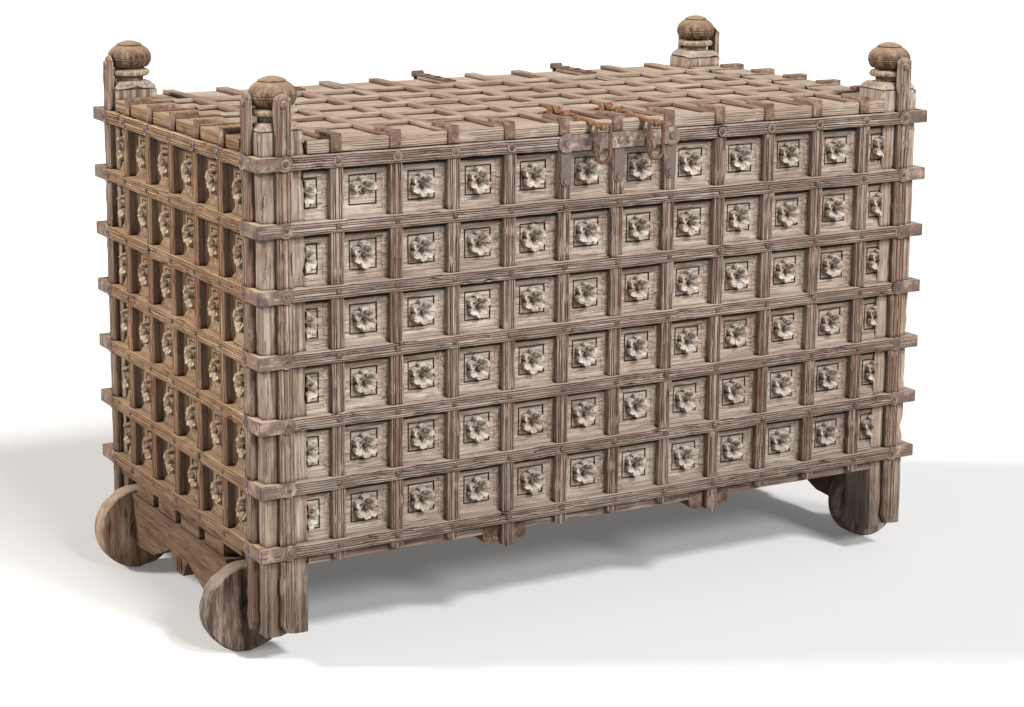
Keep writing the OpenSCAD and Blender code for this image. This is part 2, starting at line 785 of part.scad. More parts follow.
module end_edge_irons() {
    color(iron) placed() both_ends() for (column = [-end_last:end_last])
        translate([box_x + lid_over, column * pitch, 0]) edge_iron(end_iron_len);
}

module lid_edge_irons() {
    color(iron) placed() for (column = [-front_last:front_last])
        translate([column * pitch, -lid_y, 0]) rotate([0, 0, -90]) edge_iron(edge_iron_len);
}

// Lid boards run the length of the lid with open joints
module lid_boards() {
    board_w = 2 * lid_y / lid_planks;
    color(pale_wood) placed() for (plank = [0:lid_planks - 1])
        translate([-lid_x, plank * board_w - lid_y, lid_z])
            cube([2 * lid_x, board_w - (plank < lid_planks - 1 ? plank_gap : 0), lid_t]);
}

// Long battens are lapped below the cross battens
module lid_long_battens() {
    color(batten_wood) placed() for (line = [-end_last:end_last]) difference() {
        translate([-lid_x, line * pitch - lid_batten_w / 2, lid_top_z])
            cube([2 * lid_x, lid_batten_w, lid_batten_t]);
        for (column = [-front_last:front_last])
            translate([column * pitch - lid_batten_w / 2, line * pitch - lid_batten_w,
                lid_top_z + lid_batten_t / 2])
                cube([lid_batten_w, 2 * lid_batten_w, lid_batten_t]);
    }
}

module lid_cross_battens() {
    color(batten_wood) placed() for (column = [-front_last:front_last]) difference() {
        translate([column * pitch - lid_batten_w / 2, -lid_y, lid_top_z])
            cube([lid_batten_w, 2 * lid_y, lid_batten_t]);
        for (line = [-end_last:end_last])
            translate([column * pitch - lid_batten_w, line * pitch - lid_batten_w / 2,
                lid_top_z - cut])
                cube([2 * lid_batten_w, lid_batten_w, lid_batten_t / 2 + cut]);
    }
}

// Where the hinges stand along the back
module at_hinges() {
    for (side = [-1, 0, 1])
        translate([side * hinge_column * pitch, hinge_y, hinge_z]) children();
}

// Knuckles share the hinge width: two on the back plate, one on the lid strap
knuckle_w = (hinge_w - 2 * knuckle_gap) / 3;

module knuckle(from, play) {
    translate([from, 0, 0]) rotate([0, 90, 0]) difference() {
        cylinder(h = knuckle_w, r = knuckle_r);
        translate([0, 0, -cut]) cylinder(h = knuckle_w + 2 * cut, r = pin_r + play);
    }
}

// Back plates: a leaf nailed to the top band with a stem up to two knuckles
module back_hinge_plates() {
    color(iron) placed() at_hinges() {
        for (from = [-hinge_w / 2, hinge_w / 2 - knuckle_w]) {
            knuckle(from, 0);
            difference() {
                span([from, -knuckle_r, top_band_z - band_h / 2 - hinge_z],
                    [from + knuckle_w, leaf_t - knuckle_r, 0]);
                rotate([0, 90, 0]) cylinder(h = 3 * hinge_w, r = pin_r, center = true);
            }
        }
        span([-hinge_w / 2, -knuckle_r, top_band_z - band_h / 2 - hinge_z],
            [hinge_w / 2, leaf_t - knuckle_r, rim_z + leaf_stem - hinge_z]);
        translate([0, leaf_t - knuckle_r, top_band_z - hinge_z]) rotate([-90, 0, 0])
            cylinder(h = head_h, r = head_r, $fn = 24);
    }
}

// The pins fill the bores of the fixed knuckles
module hinge_pins() {
    color(dark_iron) placed() at_hinges() rotate([0, 90, 0])
        cylinder(h = hinge_w, r = pin_r, center = true);
}

// Lid straps: a leaf along a cross batten with the middle knuckle at its end
module lid_hinge_straps() {
    color(iron) placed() at_hinges() {
        knuckle(-knuckle_w / 2, pin_play);
        difference() {
            span([-knuckle_w / 2, -knuckle_r - leaf_t - knuckle_gap, -leaf_t / 2],
                [knuckle_w / 2, 0, leaf_t / 2]);
            rotate([0, 90, 0]) cylinder(h = hinge_w, r = pin_r + pin_play, center = true);
        }
        span([-hinge_w / 2, -leaf_len, -leaf_t / 2],
            [hinge_w / 2, -knuckle_r - knuckle_gap, leaf_t / 2]);
        for (at = [0.3, 0.6, 0.9]) translate([0, -leaf_len * at, leaf_t / 2])
            cylinder(h = head_h, r = head_r, $fn = 24);
    }
}

// The hasp plate on the top band, with three straps hanging below it
module hasp_plate() {
    low_z = top_band_z - band_h / 2 - drop_iron_len;
    color(iron) placed() wall(0, box_y) {
        translate([-pitch, top_band_z - plate_h / 2, band_t]) cube([2 * pitch, plate_h, plate_t]);
        for (column = [-1:1]) {
            at = column * pitch;
            translate([at, top_band_z, band_t]) {
                cylinder(h = plate_t, r = column == 0 ? plate_h / 2 : plate_lobe_r);
                translate([0, 0, plate_t]) cylinder(h = head_h, r = head_r, $fn = 24);
            }
            translate([at - edge_iron_w / 2, low_z + edge_iron_w / 2, upright_t])
                cube([edge_iron_w, drop_iron_len - edge_iron_w / 2, iron_t]);
            translate([at - edge_iron_w / 2, top_band_z - plate_h / 2, upright_t])
                cube([edge_iron_w, (plate_h - band_h) / 2, band_t + plate_t - upright_t]);
            translate([at, low_z + edge_iron_w / 2, upright_t])
                cylinder(h = iron_t, r = edge_iron_w / 2);
            translate([at, low_z + edge_iron_w / 2, upright_t + iron_t])
                cylinder(h = head_h, r = head_r, $fn = 24);
        }
        for (side = [-1, 1]) translate([side * pitch / 6, top_band_z, band_t + plate_t])
            cylinder(h = head_h, r = head_r, $fn = 24);
    }
}

// Padlock eyes: a drilled ring on a short neck, standing out from the plate
module padlock_eyes() {
    outer = eye_hole_r + eye_wall;
    color(dark_iron) placed() both_ends() translate([hasp_x, 0, eye_mid_z]) difference() {
        union() {
            translate([0, eye_mid_y, 0]) rotate([0, 90, 0])
                cylinder(h = eye_plate_t, r = outer, center = true);
            span([-eye_plate_t / 2, eye_mid_y, -outer], [eye_plate_t / 2, plate_face_y, outer]);
        }
        translate([0, eye_mid_y, 0]) rotate([0, 90, 0])
            cylinder(h = eye_plate_t + 2 * cut, r = eye_hole_r, center = true);
    }
}

// The hasp hinges on the lid: a foot plate, two cheeks and the pin between them
module hasp_feet() {
    inner = link_w / 2 + 2 * link_play;
    pin_h = hasp_pivot_z - lid_top_z;
    color(rust) placed() both_ends() translate([hasp_x, hasp_pivot_y, lid_top_z]) {
        span([-foot_len / 2, -foot_w / 2, 0], [foot_len / 2, foot_w / 2, foot_t]);
        for (side = [-1, 1]) translate([side * (inner + cheek_t / 2), 0, pin_h]) {
            rotate([0, 90, 0]) cylinder(h = cheek_t, r = barrel_r, center = true);
            span([-cheek_t / 2, -barrel_r, foot_t - pin_h], [cheek_t / 2, barrel_r, 0]);
        }
        translate([0, 0, pin_h]) rotate([0, 90, 0])
            cylinder(h = 2 * inner + cheek_t, r = pin_r, center = true);
    }
}

// A link: barrel on the lid's pin, a bar, and a second barrel round the ring's top rod
module hasp_link(side) {
    run = hasp_pivot_y - ring_y;
    slope = atan(link_fall);
    length = run / cos(slope);
    wide = link_w + 2 * link_play;
    color(rust) placed() translate([side * hasp_x, hasp_pivot_y, hasp_pivot_z])
        rotate([slope, 0, 0]) difference() {
            union() {
                rotate([0, 90, 0]) cylinder(h = wide, r = barrel_r, center = true);
                translate([0, -length, 0]) rotate([0, 90, 0])
                    cylinder(h = link_w, r = barrel_r, center = true);
                span([-link_w / 2, -length, -link_t / 2], [link_w / 2, 0, link_t / 2]);
            }
            rotate([0, 90, 0]) cylinder(h = wide + 2 * cut, r = pin_r + pin_play, center = true);
            translate([0, -length, 0]) rotate([0, 90, 0])
                cylinder(h = wide + 2 * cut, r = rod_r + pin_play, center = true);
        }
}

// A hasp ring: a top rod, two side rods and a round bow below
module hasp_ring(side) {
    bow_z = ring_len - ring_bow;
    color(rust) placed() translate([side * hasp_x, ring_y, ring_z]) {
        rotate([0, 90, 0]) cylinder(h = 2 * ring_bow, r = rod_r, center = true);
        for (edge = [-1, 1]) translate([edge * ring_bow, 0, 0]) {
            sphere(rod_r);
            translate([0, 0, -bow_z]) cylinder(h = bow_z, r = rod_r);
        }
        translate([0, 0, -bow_z]) rotate([-90, 0, 0])
            rotate_extrude(angle = 180) translate([ring_bow, 0]) circle(rod_r);
    }
}

// The four corners share one post, one finial and one wheel
module at_corner(left, back) {
    placed() mirror([left ? 1 : 0, 0, 0]) mirror([0, back ? 0 : 1, 0]) children();
}

module post_front_left() { color(pale_wood) at_corner(true, false) post(); }
module post_front_right() { color(pale_wood) at_corner(false, false) post(); }
module post_back_left() { color(pale_wood) at_corner(true, true) post(); }
module post_back_right() { color(pale_wood) at_corner(false, true) post(); }
module finial_front_left() { color(brown_wood) at_corner(true, false) finial(); }
module finial_front_right() { color(brown_wood) at_corner(false, false) finial(); }
module finial_back_left() { color(brown_wood) at_corner(true, true) finial(); }
module finial_back_right() { color(brown_wood) at_corner(false, true) finial(); }
module wheel_front_left() { color(dark_wood) at_corner(true, false) wheel(); }
module wheel_front_right() { color(dark_wood) at_corner(false, false) wheel(); }
module wheel_back_left() { color(dark_wood) at_corner(true, true) wheel(); }
module wheel_back_right() { color(dark_wood) at_corner(false, true) wheel(); }

module post_straps() {
    color(batten_wood) placed() {
        for (turn = [0, 180]) wall(turn, box_y) wall_straps(front_strap_at);
        for (turn = [-90, 90]) wall(turn, box_x) wall_straps(end_strap_at);
    }
}

// Each wall is the same set of sub-parts, turned to its side
module front_boards() { color(pale_wood) placed() wall(0, box_y) boards(post_in_x); }
module back_boards() { color(pale_wood) placed() wall(180, box_y) boards(post_in_x); }
module left_boards() { color(pale_wood) placed() wall(-90, box_x) boards(post_in_y); }
module right_boards() { color(pale_wood) placed() wall(90, box_x) boards(post_in_y); }
module front_coffers() { color(pale_wood) placed() wall(0, box_y) coffers(post_in_x, front_last); }
module back_coffers() { color(pale_wood) placed() wall(180, box_y) coffers(post_in_x, front_last); }
module left_coffers() { color(tan_wood) placed() wall(-90, box_x) coffers(post_in_y, end_last); }
module right_coffers() { color(tan_wood) placed() wall(90, box_x) coffers(post_in_y, end_last); }
module front_rosettes() { color(pale_wood) placed() wall(0, box_y) rosettes(post_in_x, front_last); }
module back_rosettes() { color(pale_wood) placed() wall(180, box_y) rosettes(post_in_x, front_last); }
module left_rosettes() { color(tan_wood) placed() wall(-90, box_x) rosettes(post_in_y, end_last); }
module right_rosettes() { color(tan_wood) placed() wall(90, box_x) rosettes(post_in_y, end_last); }
module front_battens() { color(batten_wood) placed() wall(0, box_y) long_wall_uprights(); }
module back_battens() { color(batten_wood) placed() wall(180, box_y) long_wall_uprights(); }
module left_battens() { color(batten_wood) placed() wall(-90, box_x) end_wall_uprights(); }
module right_battens() { color(batten_wood) placed() wall(90, box_x) end_wall_uprights(); }

// Front and back bands run out to the corner irons, end bands butt between them
module long_bands(turn) {
    color(batten_wood) placed() wall(turn, box_y)
        wall_bands(2 * (band_x - iron_t), front_last, front_strap_at);
}
module end_bands(turn) {
    color(batten_wood) placed() wall(turn, box_x)
        wall_bands(2 * box_y, end_last, end_strap_at);
}
module front_bands() { long_bands(0); }
module back_bands() { long_bands(180); }
module left_bands() { end_bands(-90); }
module right_bands() { end_bands(90); }

module front_nails() {
    color(dark_iron) placed() wall(0, box_y)
        wall_nails(post_in_x, front_last, front_strap_at, [0, 1]);
}
module back_nails() {
    color(dark_iron) placed() wall(180, box_y)
        wall_nails(post_in_x, front_last, front_strap_at, [0, hinge_column]);
}
module end_nails() {
    color(dark_iron) placed() for (turn = [-90, 90]) wall(turn, box_x)
        wall_nails(post_in_y, end_last, end_strap_at, []);
}

module left_axle_beam() { color(tan_wood) placed() mirror([1, 0, 0]) axle_beam(); }
module right_axle_beam() { color(tan_wood) placed() axle_beam(); }
module left_top_rail() { mirror([1, 0, 0]) top_rail(); }
module right_top_rail() { top_rail(); }
module hasp_link_left() { hasp_link(-1); }
module hasp_link_right() { hasp_link(1); }
module hasp_ring_left() { hasp_ring(-1); }
module hasp_ring_right() { hasp_ring(1); }

post_front_left();
post_front_right();
post_back_left();
post_back_right();
finial_front_left();
finial_front_right();
finial_back_left();
finial_back_right();
post_straps();
front_boards();
back_boards();
left_boards();
right_boards();
floor_boards();
cross_bearers();
sill_rails();
left_axle_beam();
right_axle_beam();
front_bands();
back_bands();
left_bands();
right_bands();
front_battens();
back_battens();
left_battens();
right_battens();
front_coffers();
back_coffers();
left_coffers();
right_coffers();
front_rosettes();
back_rosettes();
left_rosettes();
right_rosettes();
front_nails();
back_nails();
end_nails();
corner_irons();
left_top_rail();
right_top_rail();
end_edge_irons();
hasp_plate();
padlock_eyes();
back_hinge_plates();
hinge_pins();
lid_boards();
lid_long_battens();
lid_cross_battens();
lid_edge_irons();
lid_hinge_straps();
hasp_feet();
hasp_link_left();
hasp_link_right();
hasp_ring_left();
hasp_ring_right();
wheel_front_left();
wheel_front_right();
wheel_back_left();
wheel_back_right();
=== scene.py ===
"""Dresses the wheeled, iron-mounted chest: weathered boards, a nailed lattice, carved flowers.

Lengths are in metres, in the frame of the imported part: X along the front, Y to the back, Z up.
"""

import logging
import math
import random
from dataclasses import dataclass
from enum import Enum
from typing import Iterable, Sequence

import bmesh
import bpy
from mathutils import Euler, Matrix, Vector, noise


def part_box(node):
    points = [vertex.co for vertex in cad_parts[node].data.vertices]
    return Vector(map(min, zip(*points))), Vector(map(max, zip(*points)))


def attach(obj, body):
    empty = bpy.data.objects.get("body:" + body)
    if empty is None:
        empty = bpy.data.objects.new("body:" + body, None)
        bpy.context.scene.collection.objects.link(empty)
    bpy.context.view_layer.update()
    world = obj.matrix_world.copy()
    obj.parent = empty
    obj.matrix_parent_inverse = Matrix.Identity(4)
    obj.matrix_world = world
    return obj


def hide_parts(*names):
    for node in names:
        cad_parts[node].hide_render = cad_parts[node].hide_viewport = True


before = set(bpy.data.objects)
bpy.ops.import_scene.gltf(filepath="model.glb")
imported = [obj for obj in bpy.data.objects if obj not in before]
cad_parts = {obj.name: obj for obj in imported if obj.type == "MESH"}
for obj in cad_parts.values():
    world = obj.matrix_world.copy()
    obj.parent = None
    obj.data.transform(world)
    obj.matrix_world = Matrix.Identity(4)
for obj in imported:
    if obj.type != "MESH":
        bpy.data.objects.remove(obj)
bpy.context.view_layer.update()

log = logging.getLogger("chest")

CHEST = "chest"
LID = "lid"
SHARP = math.radians(35.0)
MERGED = 0.00002
SUNK = 0.0006
WEAR_SEED = 1
BOTH_WAYS = (-1.0, 1.0)
AXES = (Vector((1.0, 0.0, 0.0)), Vector((0.0, 1.0, 0.0)), Vector((0.0, 0.0, 1.0)))
SWAP_Y_Z = Matrix(((1.0, 0.0, 0.0, 0.0), (0.0, 0.0, 1.0, 0.0), (0.0, 1.0, 0.0, 0.0),
                   (0.0, 0.0, 0.0, 1.0)))
Z_TO_X = Matrix(((0.0, 0.0, 1.0, 0.0), (1.0, 0.0, 0.0, 0.0), (0.0, 1.0, 0.0, 0.0),
                 (0.0, 0.0, 0.0, 1.0)))

Colour = tuple[int, int, int]
Palette = dict[str, Colour]
Points = list[tuple[float, float]]
Verts = list[bmesh.types.BMVert]
Socket = bpy.types.NodeSocket


def linear(colour: Colour) -> tuple[float, float, float, float]:
    """Turns a display colour into the linear colour that shaders take.

    Args:
        colour: Red, green and blue from 0 to 255.

    Returns:
        Linear red, green, blue and an alpha of 1.
    """
    def channel(value: int) -> float:
        """One channel, by the curve of an ordinary display."""
        share = value / 255.0
        return share / 12.92 if share <= 0.04045 else ((share + 0.055) / 1.055) ** 2.4

    return (channel(colour[0]), channel(colour[1]), channel(colour[2]), 1.0)


class Grain(Enum):
    """The axis that a wood's fibres follow."""

    ALONG_X = (1.0, 0.0, 0.0)
    ALONG_Y = (0.0, 1.0, 0.0)
    ALONG_Z = (0.0, 0.0, 1.0)

    def stretch(self, across: float, along: float) -> tuple[float, float, float]:
        """Scale of a pattern, dense across the fibres and long along them."""
        return tuple(along if share else across for share in self.value)


def put_node(tree: bpy.types.NodeTree, kind: str, **values: object) -> bpy.types.Node:
    """Adds a shader node and sets its inputs.

    Args:
        tree: The node tree of a material or a world.
        kind: Blender's name of the node.
        values: Values of its inputs, with _ for a space in an input's name.

    Returns:
        The node.
    """
    node = tree.nodes.new(kind)
    for name, value in values.items():
        node.inputs[name.replace("_", " ")].default_value = value
    return node


def turned(degrees: float, axis: str) -> Matrix:
    """A rotation about one axis."""
    return Matrix.Rotation(math.radians(degrees), 4, axis)


class NodeBench:
    """Lays out the shader nodes of one material."""

    def __init__(self, name: str) -> None:
        """Starts an empty material with its shader and output.

        Args:
            name: Name of the material.
        """
        self.material = bpy.data.materials.new(name)
        self.material.use_nodes = True
        self.tree = self.material.node_tree
        self.tree.nodes.clear()
        self.output = put_node(self.tree, "ShaderNodeOutputMaterial")
        self.shader = put_node(self.tree, "ShaderNodeBsdfPrincipled")
        self.link(self.shader.outputs["BSDF"], self.output.inputs["Surface"])
        place = put_node(self.tree, "ShaderNodeTexCoord")
        self.coords = place.outputs["Object"]
        facing = self.split(place.outputs["Normal"])
        self.frontness, self.upness = facing["Y"], facing["Z"]
        self.height = self.split(self.coords)["Z"]

    def link(self, source: Socket, target: Socket) -> None:
        """Joins two sockets."""
        self.tree.links.new(source, target)

    def split(self, vector: Socket) -> dict[str, Socket]:
        """The X, Y and Z of a vector.

        Args:
            vector: The vector.

        Returns:
            The three sockets by their names.
        """
        node = put_node(self.tree, "ShaderNodeSeparateXYZ")
        self.link(vector, node.inputs["Vector"])
        return {name: node.outputs[name] for name in "XYZ"}

    def spread(self, scale: Sequence[float], shift: Sequence[float]) -> Socket:
        """Object coordinates, scaled and moved.

        Args:
            scale: Scale along each axis.
            shift: Offset along each axis, so that two patterns differ.

        Returns:
            The mapped coordinates.
        """
        mapping = put_node(self.tree, "ShaderNodeMapping", Scale=scale, Location=shift)
        self.link(self.coords, mapping.inputs["Vector"])
        return mapping.outputs["Vector"]

    def noise(self, scale: Sequence[float], shift: Sequence[float] = (0.0, 0.0, 0.0),
              detail: float = 6.0, roughness: float = 0.6,
              distortion: float = 0.0) -> Socket:
        """A cloud pattern from 0 to 1.

        Args:
            scale: Scale along each axis.
            shift: Offset along each axis.
            detail: Number of finer layers.
            roughness: Strength of the finer layers.
            distortion: How far the pattern bends.

        Returns:
            The factor socket.
        """
        node = put_node(self.tree, "ShaderNodeTexNoise", Scale=1.0, Detail=detail,
                        Roughness=roughness, Distortion=distortion)
        self.link(self.spread(scale, shift), node.inputs["Vector"])
        return node.outputs["Fac"]

    def ramp(self, factor: Socket,
             stops: Sequence[tuple[float, tuple[float, float, float, float]]]
             ) -> Socket:
        """A colour ramp.

        Args:
            factor: What the ramp reads.
            stops: Places from 0 to 1 with their colours.

        Returns:
            The colour socket.
        """
        node = self.tree.nodes.new("ShaderNodeValToRGB")
        elements = node.color_ramp.elements
        while len(elements) < len(stops):
            elements.new(0.5)
        for element, (place, colour) in zip(elements, stops):
            element.position = place
            element.color = colour
        self.link(factor, node.inputs["Fac"])
        return node.outputs["Color"]

    def window(self, factor: Socket, low: float, high: float,
               start: float = 0.0, end: float = 1.0) -> Socket:
        """Stretches a factor so that low gives start and high gives end.

        Args:
            factor: What is stretched.
            low: Input that gives start.
            high: Input that gives end.
            start: Output at low.
            end: Output at high.

        Returns:
            The stretched factor, clamped.
        """
        node = put_node(self.tree, "ShaderNodeMapRange", From_Min=low, From_Max=high,
                        To_Min=start, To_Max=end)
        self.link(factor, node.inputs["Value"])
        return node.outputs["Result"]

    def mix(self, factor: Socket, first: Socket, second: "Socket | Sequence[float]") -> Socket:
        """Mixes two colours.

        Args:
            factor: Share of the second colour.
            first: The colour at 0.
            second: The colour at 1, a socket or a value.

        Returns:
            The mixed colour.
        """
        node = self.tree.nodes.new("ShaderNodeMix")
        node.data_type = "RGBA"
        self.link(factor, node.inputs["Factor"])
        self.link(first, node.inputs["A"])
        if isinstance(second, Socket):
            self.link(second, node.inputs["B"])
        else:
            node.inputs["B"].default_value = second
        return node.outputs["Result"]

    def tint(self, colour: Socket, factor: Socket, window: Sequence[float],
             paint: Colour) -> Socket:
        """Mixes a paint into a colour where a factor is strong.

        Args:
            colour: The colour so far.
            factor: What the paint follows.
            window: Low and high of the factor, then the paint's share at both.
            paint: The display colour of the paint.

        Returns:
            The new colour.
        """
        return self.mix(self.window(factor, *window), colour, linear(paint))

    def crevices(self, reach: float) -> Socket:
        """How open the surface is: 0 deep in a corner, 1 in the open.

        Args:
            reach: How far a neighbouring surface is noticed.

        Returns:
            The openness as a factor.
        """
        node = put_node(self.tree, "ShaderNodeAmbientOcclusion", Distance=reach)
        node.samples = 6
        return node.outputs["AO"]

    def relief(self, height: Socket, strength: float, depth: float) -> None:
        """Gives the shader a bump.

        Args:
            height: The height pattern.
            strength: Strength from 0 to 1.
            depth: Depth of the pattern in metres.
        """
        node = put_node(self.tree, "ShaderNodeBump", Strength=strength, Distance=depth)
        self.link(height, node.inputs["Height"])
        self.link(node.outputs["Normal"], self.shader.inputs["Normal"])


@dataclass(frozen=True)
class WoodFinish:
    """Old open-air wood: fibres, stains, dust and dirt in the grain, painted light on tops,
    painted shade on undersides and in corners, painted light and shade on faces that look to the
    front, and darker towards the bottom.
    """

    name: str
    dark: Colour
    middle: Colour
    pale: Colour
    stain: Colour
    grain: Grain
    slot: str
    across: float = 190.0
    along: float = 5.0
    stain_share: float = 0.5
    dirt: Colour = (30, 21, 16)
    dirt_reach: float = 0.009
    depth: float = 0.0018
    dust: float = 0.55
    ground: float = 0.33
    ground_z: float = 0.55
    flank: Colour | None = None
    flank_share: float = 0.7
    roughness: float = 0.86
    gloss: float = 0.25
    relief: float = 0.8

    def material(self) -> bpy.types.Material:
        """Builds the material, or returns it if it exists.

        Returns:
            The material.
        """
        found = bpy.data.materials.get(self.name)
        if found:
            return found
        bench = NodeBench(self.name)
        fibre = bench.noise(self.grain.stretch(self.across, self.along), detail=7.0,
                            roughness=0.72, distortion=0.15)
        strand = bench.noise(self.grain.stretch(self.across * 2.6, self.along * 1.6),
                             (3.1, 7.7, 1.9), detail=3.0)
        streak = bench.noise(self.grain.stretch(46.0, 1.6), (5.5, 1.2, 8.4), detail=4.0)
        patch = bench.noise((5.0,) * 3, (9.0, 2.0, 4.0), detail=5.0, roughness=0.65)
        blot = bench.noise((13.0,) * 3, (4.0, 8.0, 1.0), roughness=0.7)
        broad = bench.noise((2.4,) * 3, (7.0, 3.0, 5.0), detail=3.0)
        colour = bench.ramp(bench.window(fibre, 0.30, 0.69), (
            (0.0, linear(self.dark)), (0.42, linear(self.middle)), (1.0, linear(self.pale))))
        layers = [(streak, (0.50, 0.66, 0.0, self.stain_share), self.stain),
                  (patch, (0.50, 0.72, 0.0, 0.5), self.pale),
                  (blot, (0.54, 0.70, 0.0, 0.45), self.stain),
                  (broad, (0.50, 0.66, 0.0, 0.24), self.stain)]
        # Painted light and shade: faces that look to the front get a flat tint.
        if self.flank:
            layers.append((bench.frontness, (-0.95, -0.55, self.flank_share, 0.0), self.flank))
        layers += [(strand, (0.33, 0.43, 0.72, 0.0), self.dirt),
                   # Dust and a painted highlight: faces that look up turn paler, as if lit from
                   # above.
                   (bench.upness, (0.25, 0.90, 0.0, self.dust), self.pale),
                   # Painted shade: faces that look down are darker, as if shaded from above.
                   (bench.upness, (-0.90, -0.25, 0.5, 0.0), self.dirt),
                   # Darker towards the bottom, fading out higher up.
                   (bench.height, (0.10, self.ground_z, self.ground, 0.0), self.dirt),
                   # Painted shade: corners and hollows darken by how closed in they are.
                   (bench.crevices(self.dirt_reach), (0.34, 0.86, 0.96, 0.0), self.dirt)]
        for factor, window, paint in layers:
            colour = bench.tint(colour, factor, window, paint)
        bench.link(colour, bench.shader.inputs["Base Color"])
        bench.shader.inputs["Roughness"].default_value = self.roughness
        bench.shader.inputs["Specular IOR Level"].default_value = self.gloss
        height = put_node(bench.tree, "ShaderNodeMath")
        height.operation = "MULTIPLY"
        bench.link(fibre, height.inputs[0])
        bench.link(bench.window(strand, 0.36, 0.46), height.inputs[1])
        bench.relief(height.outputs["Value"], self.relief, self.depth)
        return bench.material


@dataclass(frozen=True)
class IronFinish:
    """Forged iron under rust and dust."""

    name: str
    base: Colour
    rust: Colour
    bare: Colour
    slot: str
    scale: float = 55.0
    rust_share: float = 0.7
    roughness: float = 0.7
    metallic: float = 0.25
    dirt_reach: float = 0.007
    low: Colour | None = None
    low_z: float = 1.0
    low_edge: float = 0.001
    dirt: Colour = (30, 22, 18)
    play: float = 0.15

    def material(self) -> bpy.types.Material:
        """Builds the material, or returns it if it exists.

        Returns:
            The material.
        """
        found = bpy.data.materials.get(self.name)
        if found:
            return found
        bench = NodeBench(self.name)
        blotch = bench.noise((self.scale,) * 3, detail=7.0, roughness=0.7)
        speck = bench.noise((self.scale * 6.0,) * 3, (2.0, 5.0, 3.0), detail=4.0)
        colour = bench.ramp(blotch, ((0.34, linear(self.base)), (0.52, linear(self.rust)),
                                     (0.70, linear(self.bare))))
        colour = bench.tint(colour, speck, (0.52, 0.70, 0.0, self.rust_share), self.rust)
        if self.low:
            patina = bench.tint(colour, blotch, (0.40, 0.62), self.low)
            below = bench.window(bench.height, self.low_z - self.low_edge,
                                 self.low_z + self.low_edge, 1.0, 0.0)
            colour = bench.mix(below, colour, patina)
        # Painted shade: corners and hollows darken by how closed in they are.
        colour = bench.tint(colour, bench.crevices(self.dirt_reach), (0.25, 0.75, 0.9, 0.0),
                            self.dirt)
        bench.link(colour, bench.shader.inputs["Base Color"])
        bench.shader.inputs["Metallic"].default_value = self.metallic
        rough = bench.window(speck, 0.3, 0.7, self.roughness - self.play,
                             self.roughness + self.play)
        bench.link(rough, bench.shader.inputs["Roughness"])
        bench.relief(speck, 0.5, 0.0008)
        return bench.material


Finish = WoodFinish | IronFinish


def wood_in(grain: Grain, name: str, **changes: object) -> WoodFinish:
    """The common weathered wood with its fibres along one axis.

    Args:
        grain: Axis of the fibres.
        name: Name of the finish.
        changes: Fields that differ from the common wood.

    Returns:
        The finish.
    """
    fields = dict(dark=(84, 66, 56), middle=(150, 130, 116), pale=(205, 188, 172),
                  stain=(126, 98, 84), slot="pale_wood")
    fields.update(changes)
    return WoodFinish(name=name, grain=grain, **fields)


@dataclass(frozen=True)
class ChestSizes:
    """The sizes that every sub-assembly shares, all in metres."""

    pitch: float = 0.130
    front_lines: int = 5
    end_lines: int = 2
    rows: int = 6
    box_x: float = 0.8056
    box_y: float = 0.4304
    post_w: float = 0.092
    front_strap_at: float = 0.7616
    end_strap_at: float = 0.3776
    first_band_z: float = 0.238
    band_h: float = 0.027
    band_t: float = 0.018
    upright_w: float = 0.027
    upright_t: float = 0.014
    strap_w: float = 0.032
    strap_t: float = 0.012
    leg_z: float = 0.062
    lid_z: float = 1.0318
    lid_top_z: float = 1.053
    batten_top_z: float = 1.062
    lid_x: float = 0.7100
    lid_y: float = 0.4354

    @property
    def plan_shift(self) -> float:
        """How far the box stands behind the origin."""
        front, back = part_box("front_bands"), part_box("back_bands")
        return (front[0].y + back[1].y) / 2.0

    @property
    def post_in_x(self) -> float:
        """Inner face of the posts, along the chest."""
        return self.box_x - self.post_w

    @property
    def post_in_y(self) -> float:
        """Inner face of the posts, across the chest."""
        return self.box_y - self.post_w

    @property
    def base_z(self) -> float:
        """Underside of the lowest band."""
        return self.first_band_z - self.band_h / 2.0

    @property
    def rim_z(self) -> float:
        """Top of the highest band."""
        return self.band_z(self.rows) + self.band_h / 2.0

    def band_z(self, row: int) -> float:
        """Height of the middle of a band."""
        return self.first_band_z + row * self.pitch


SIZES = ChestSizes()
PLAN = Matrix.Translation((0.0, SIZES.plan_shift, 0.0))


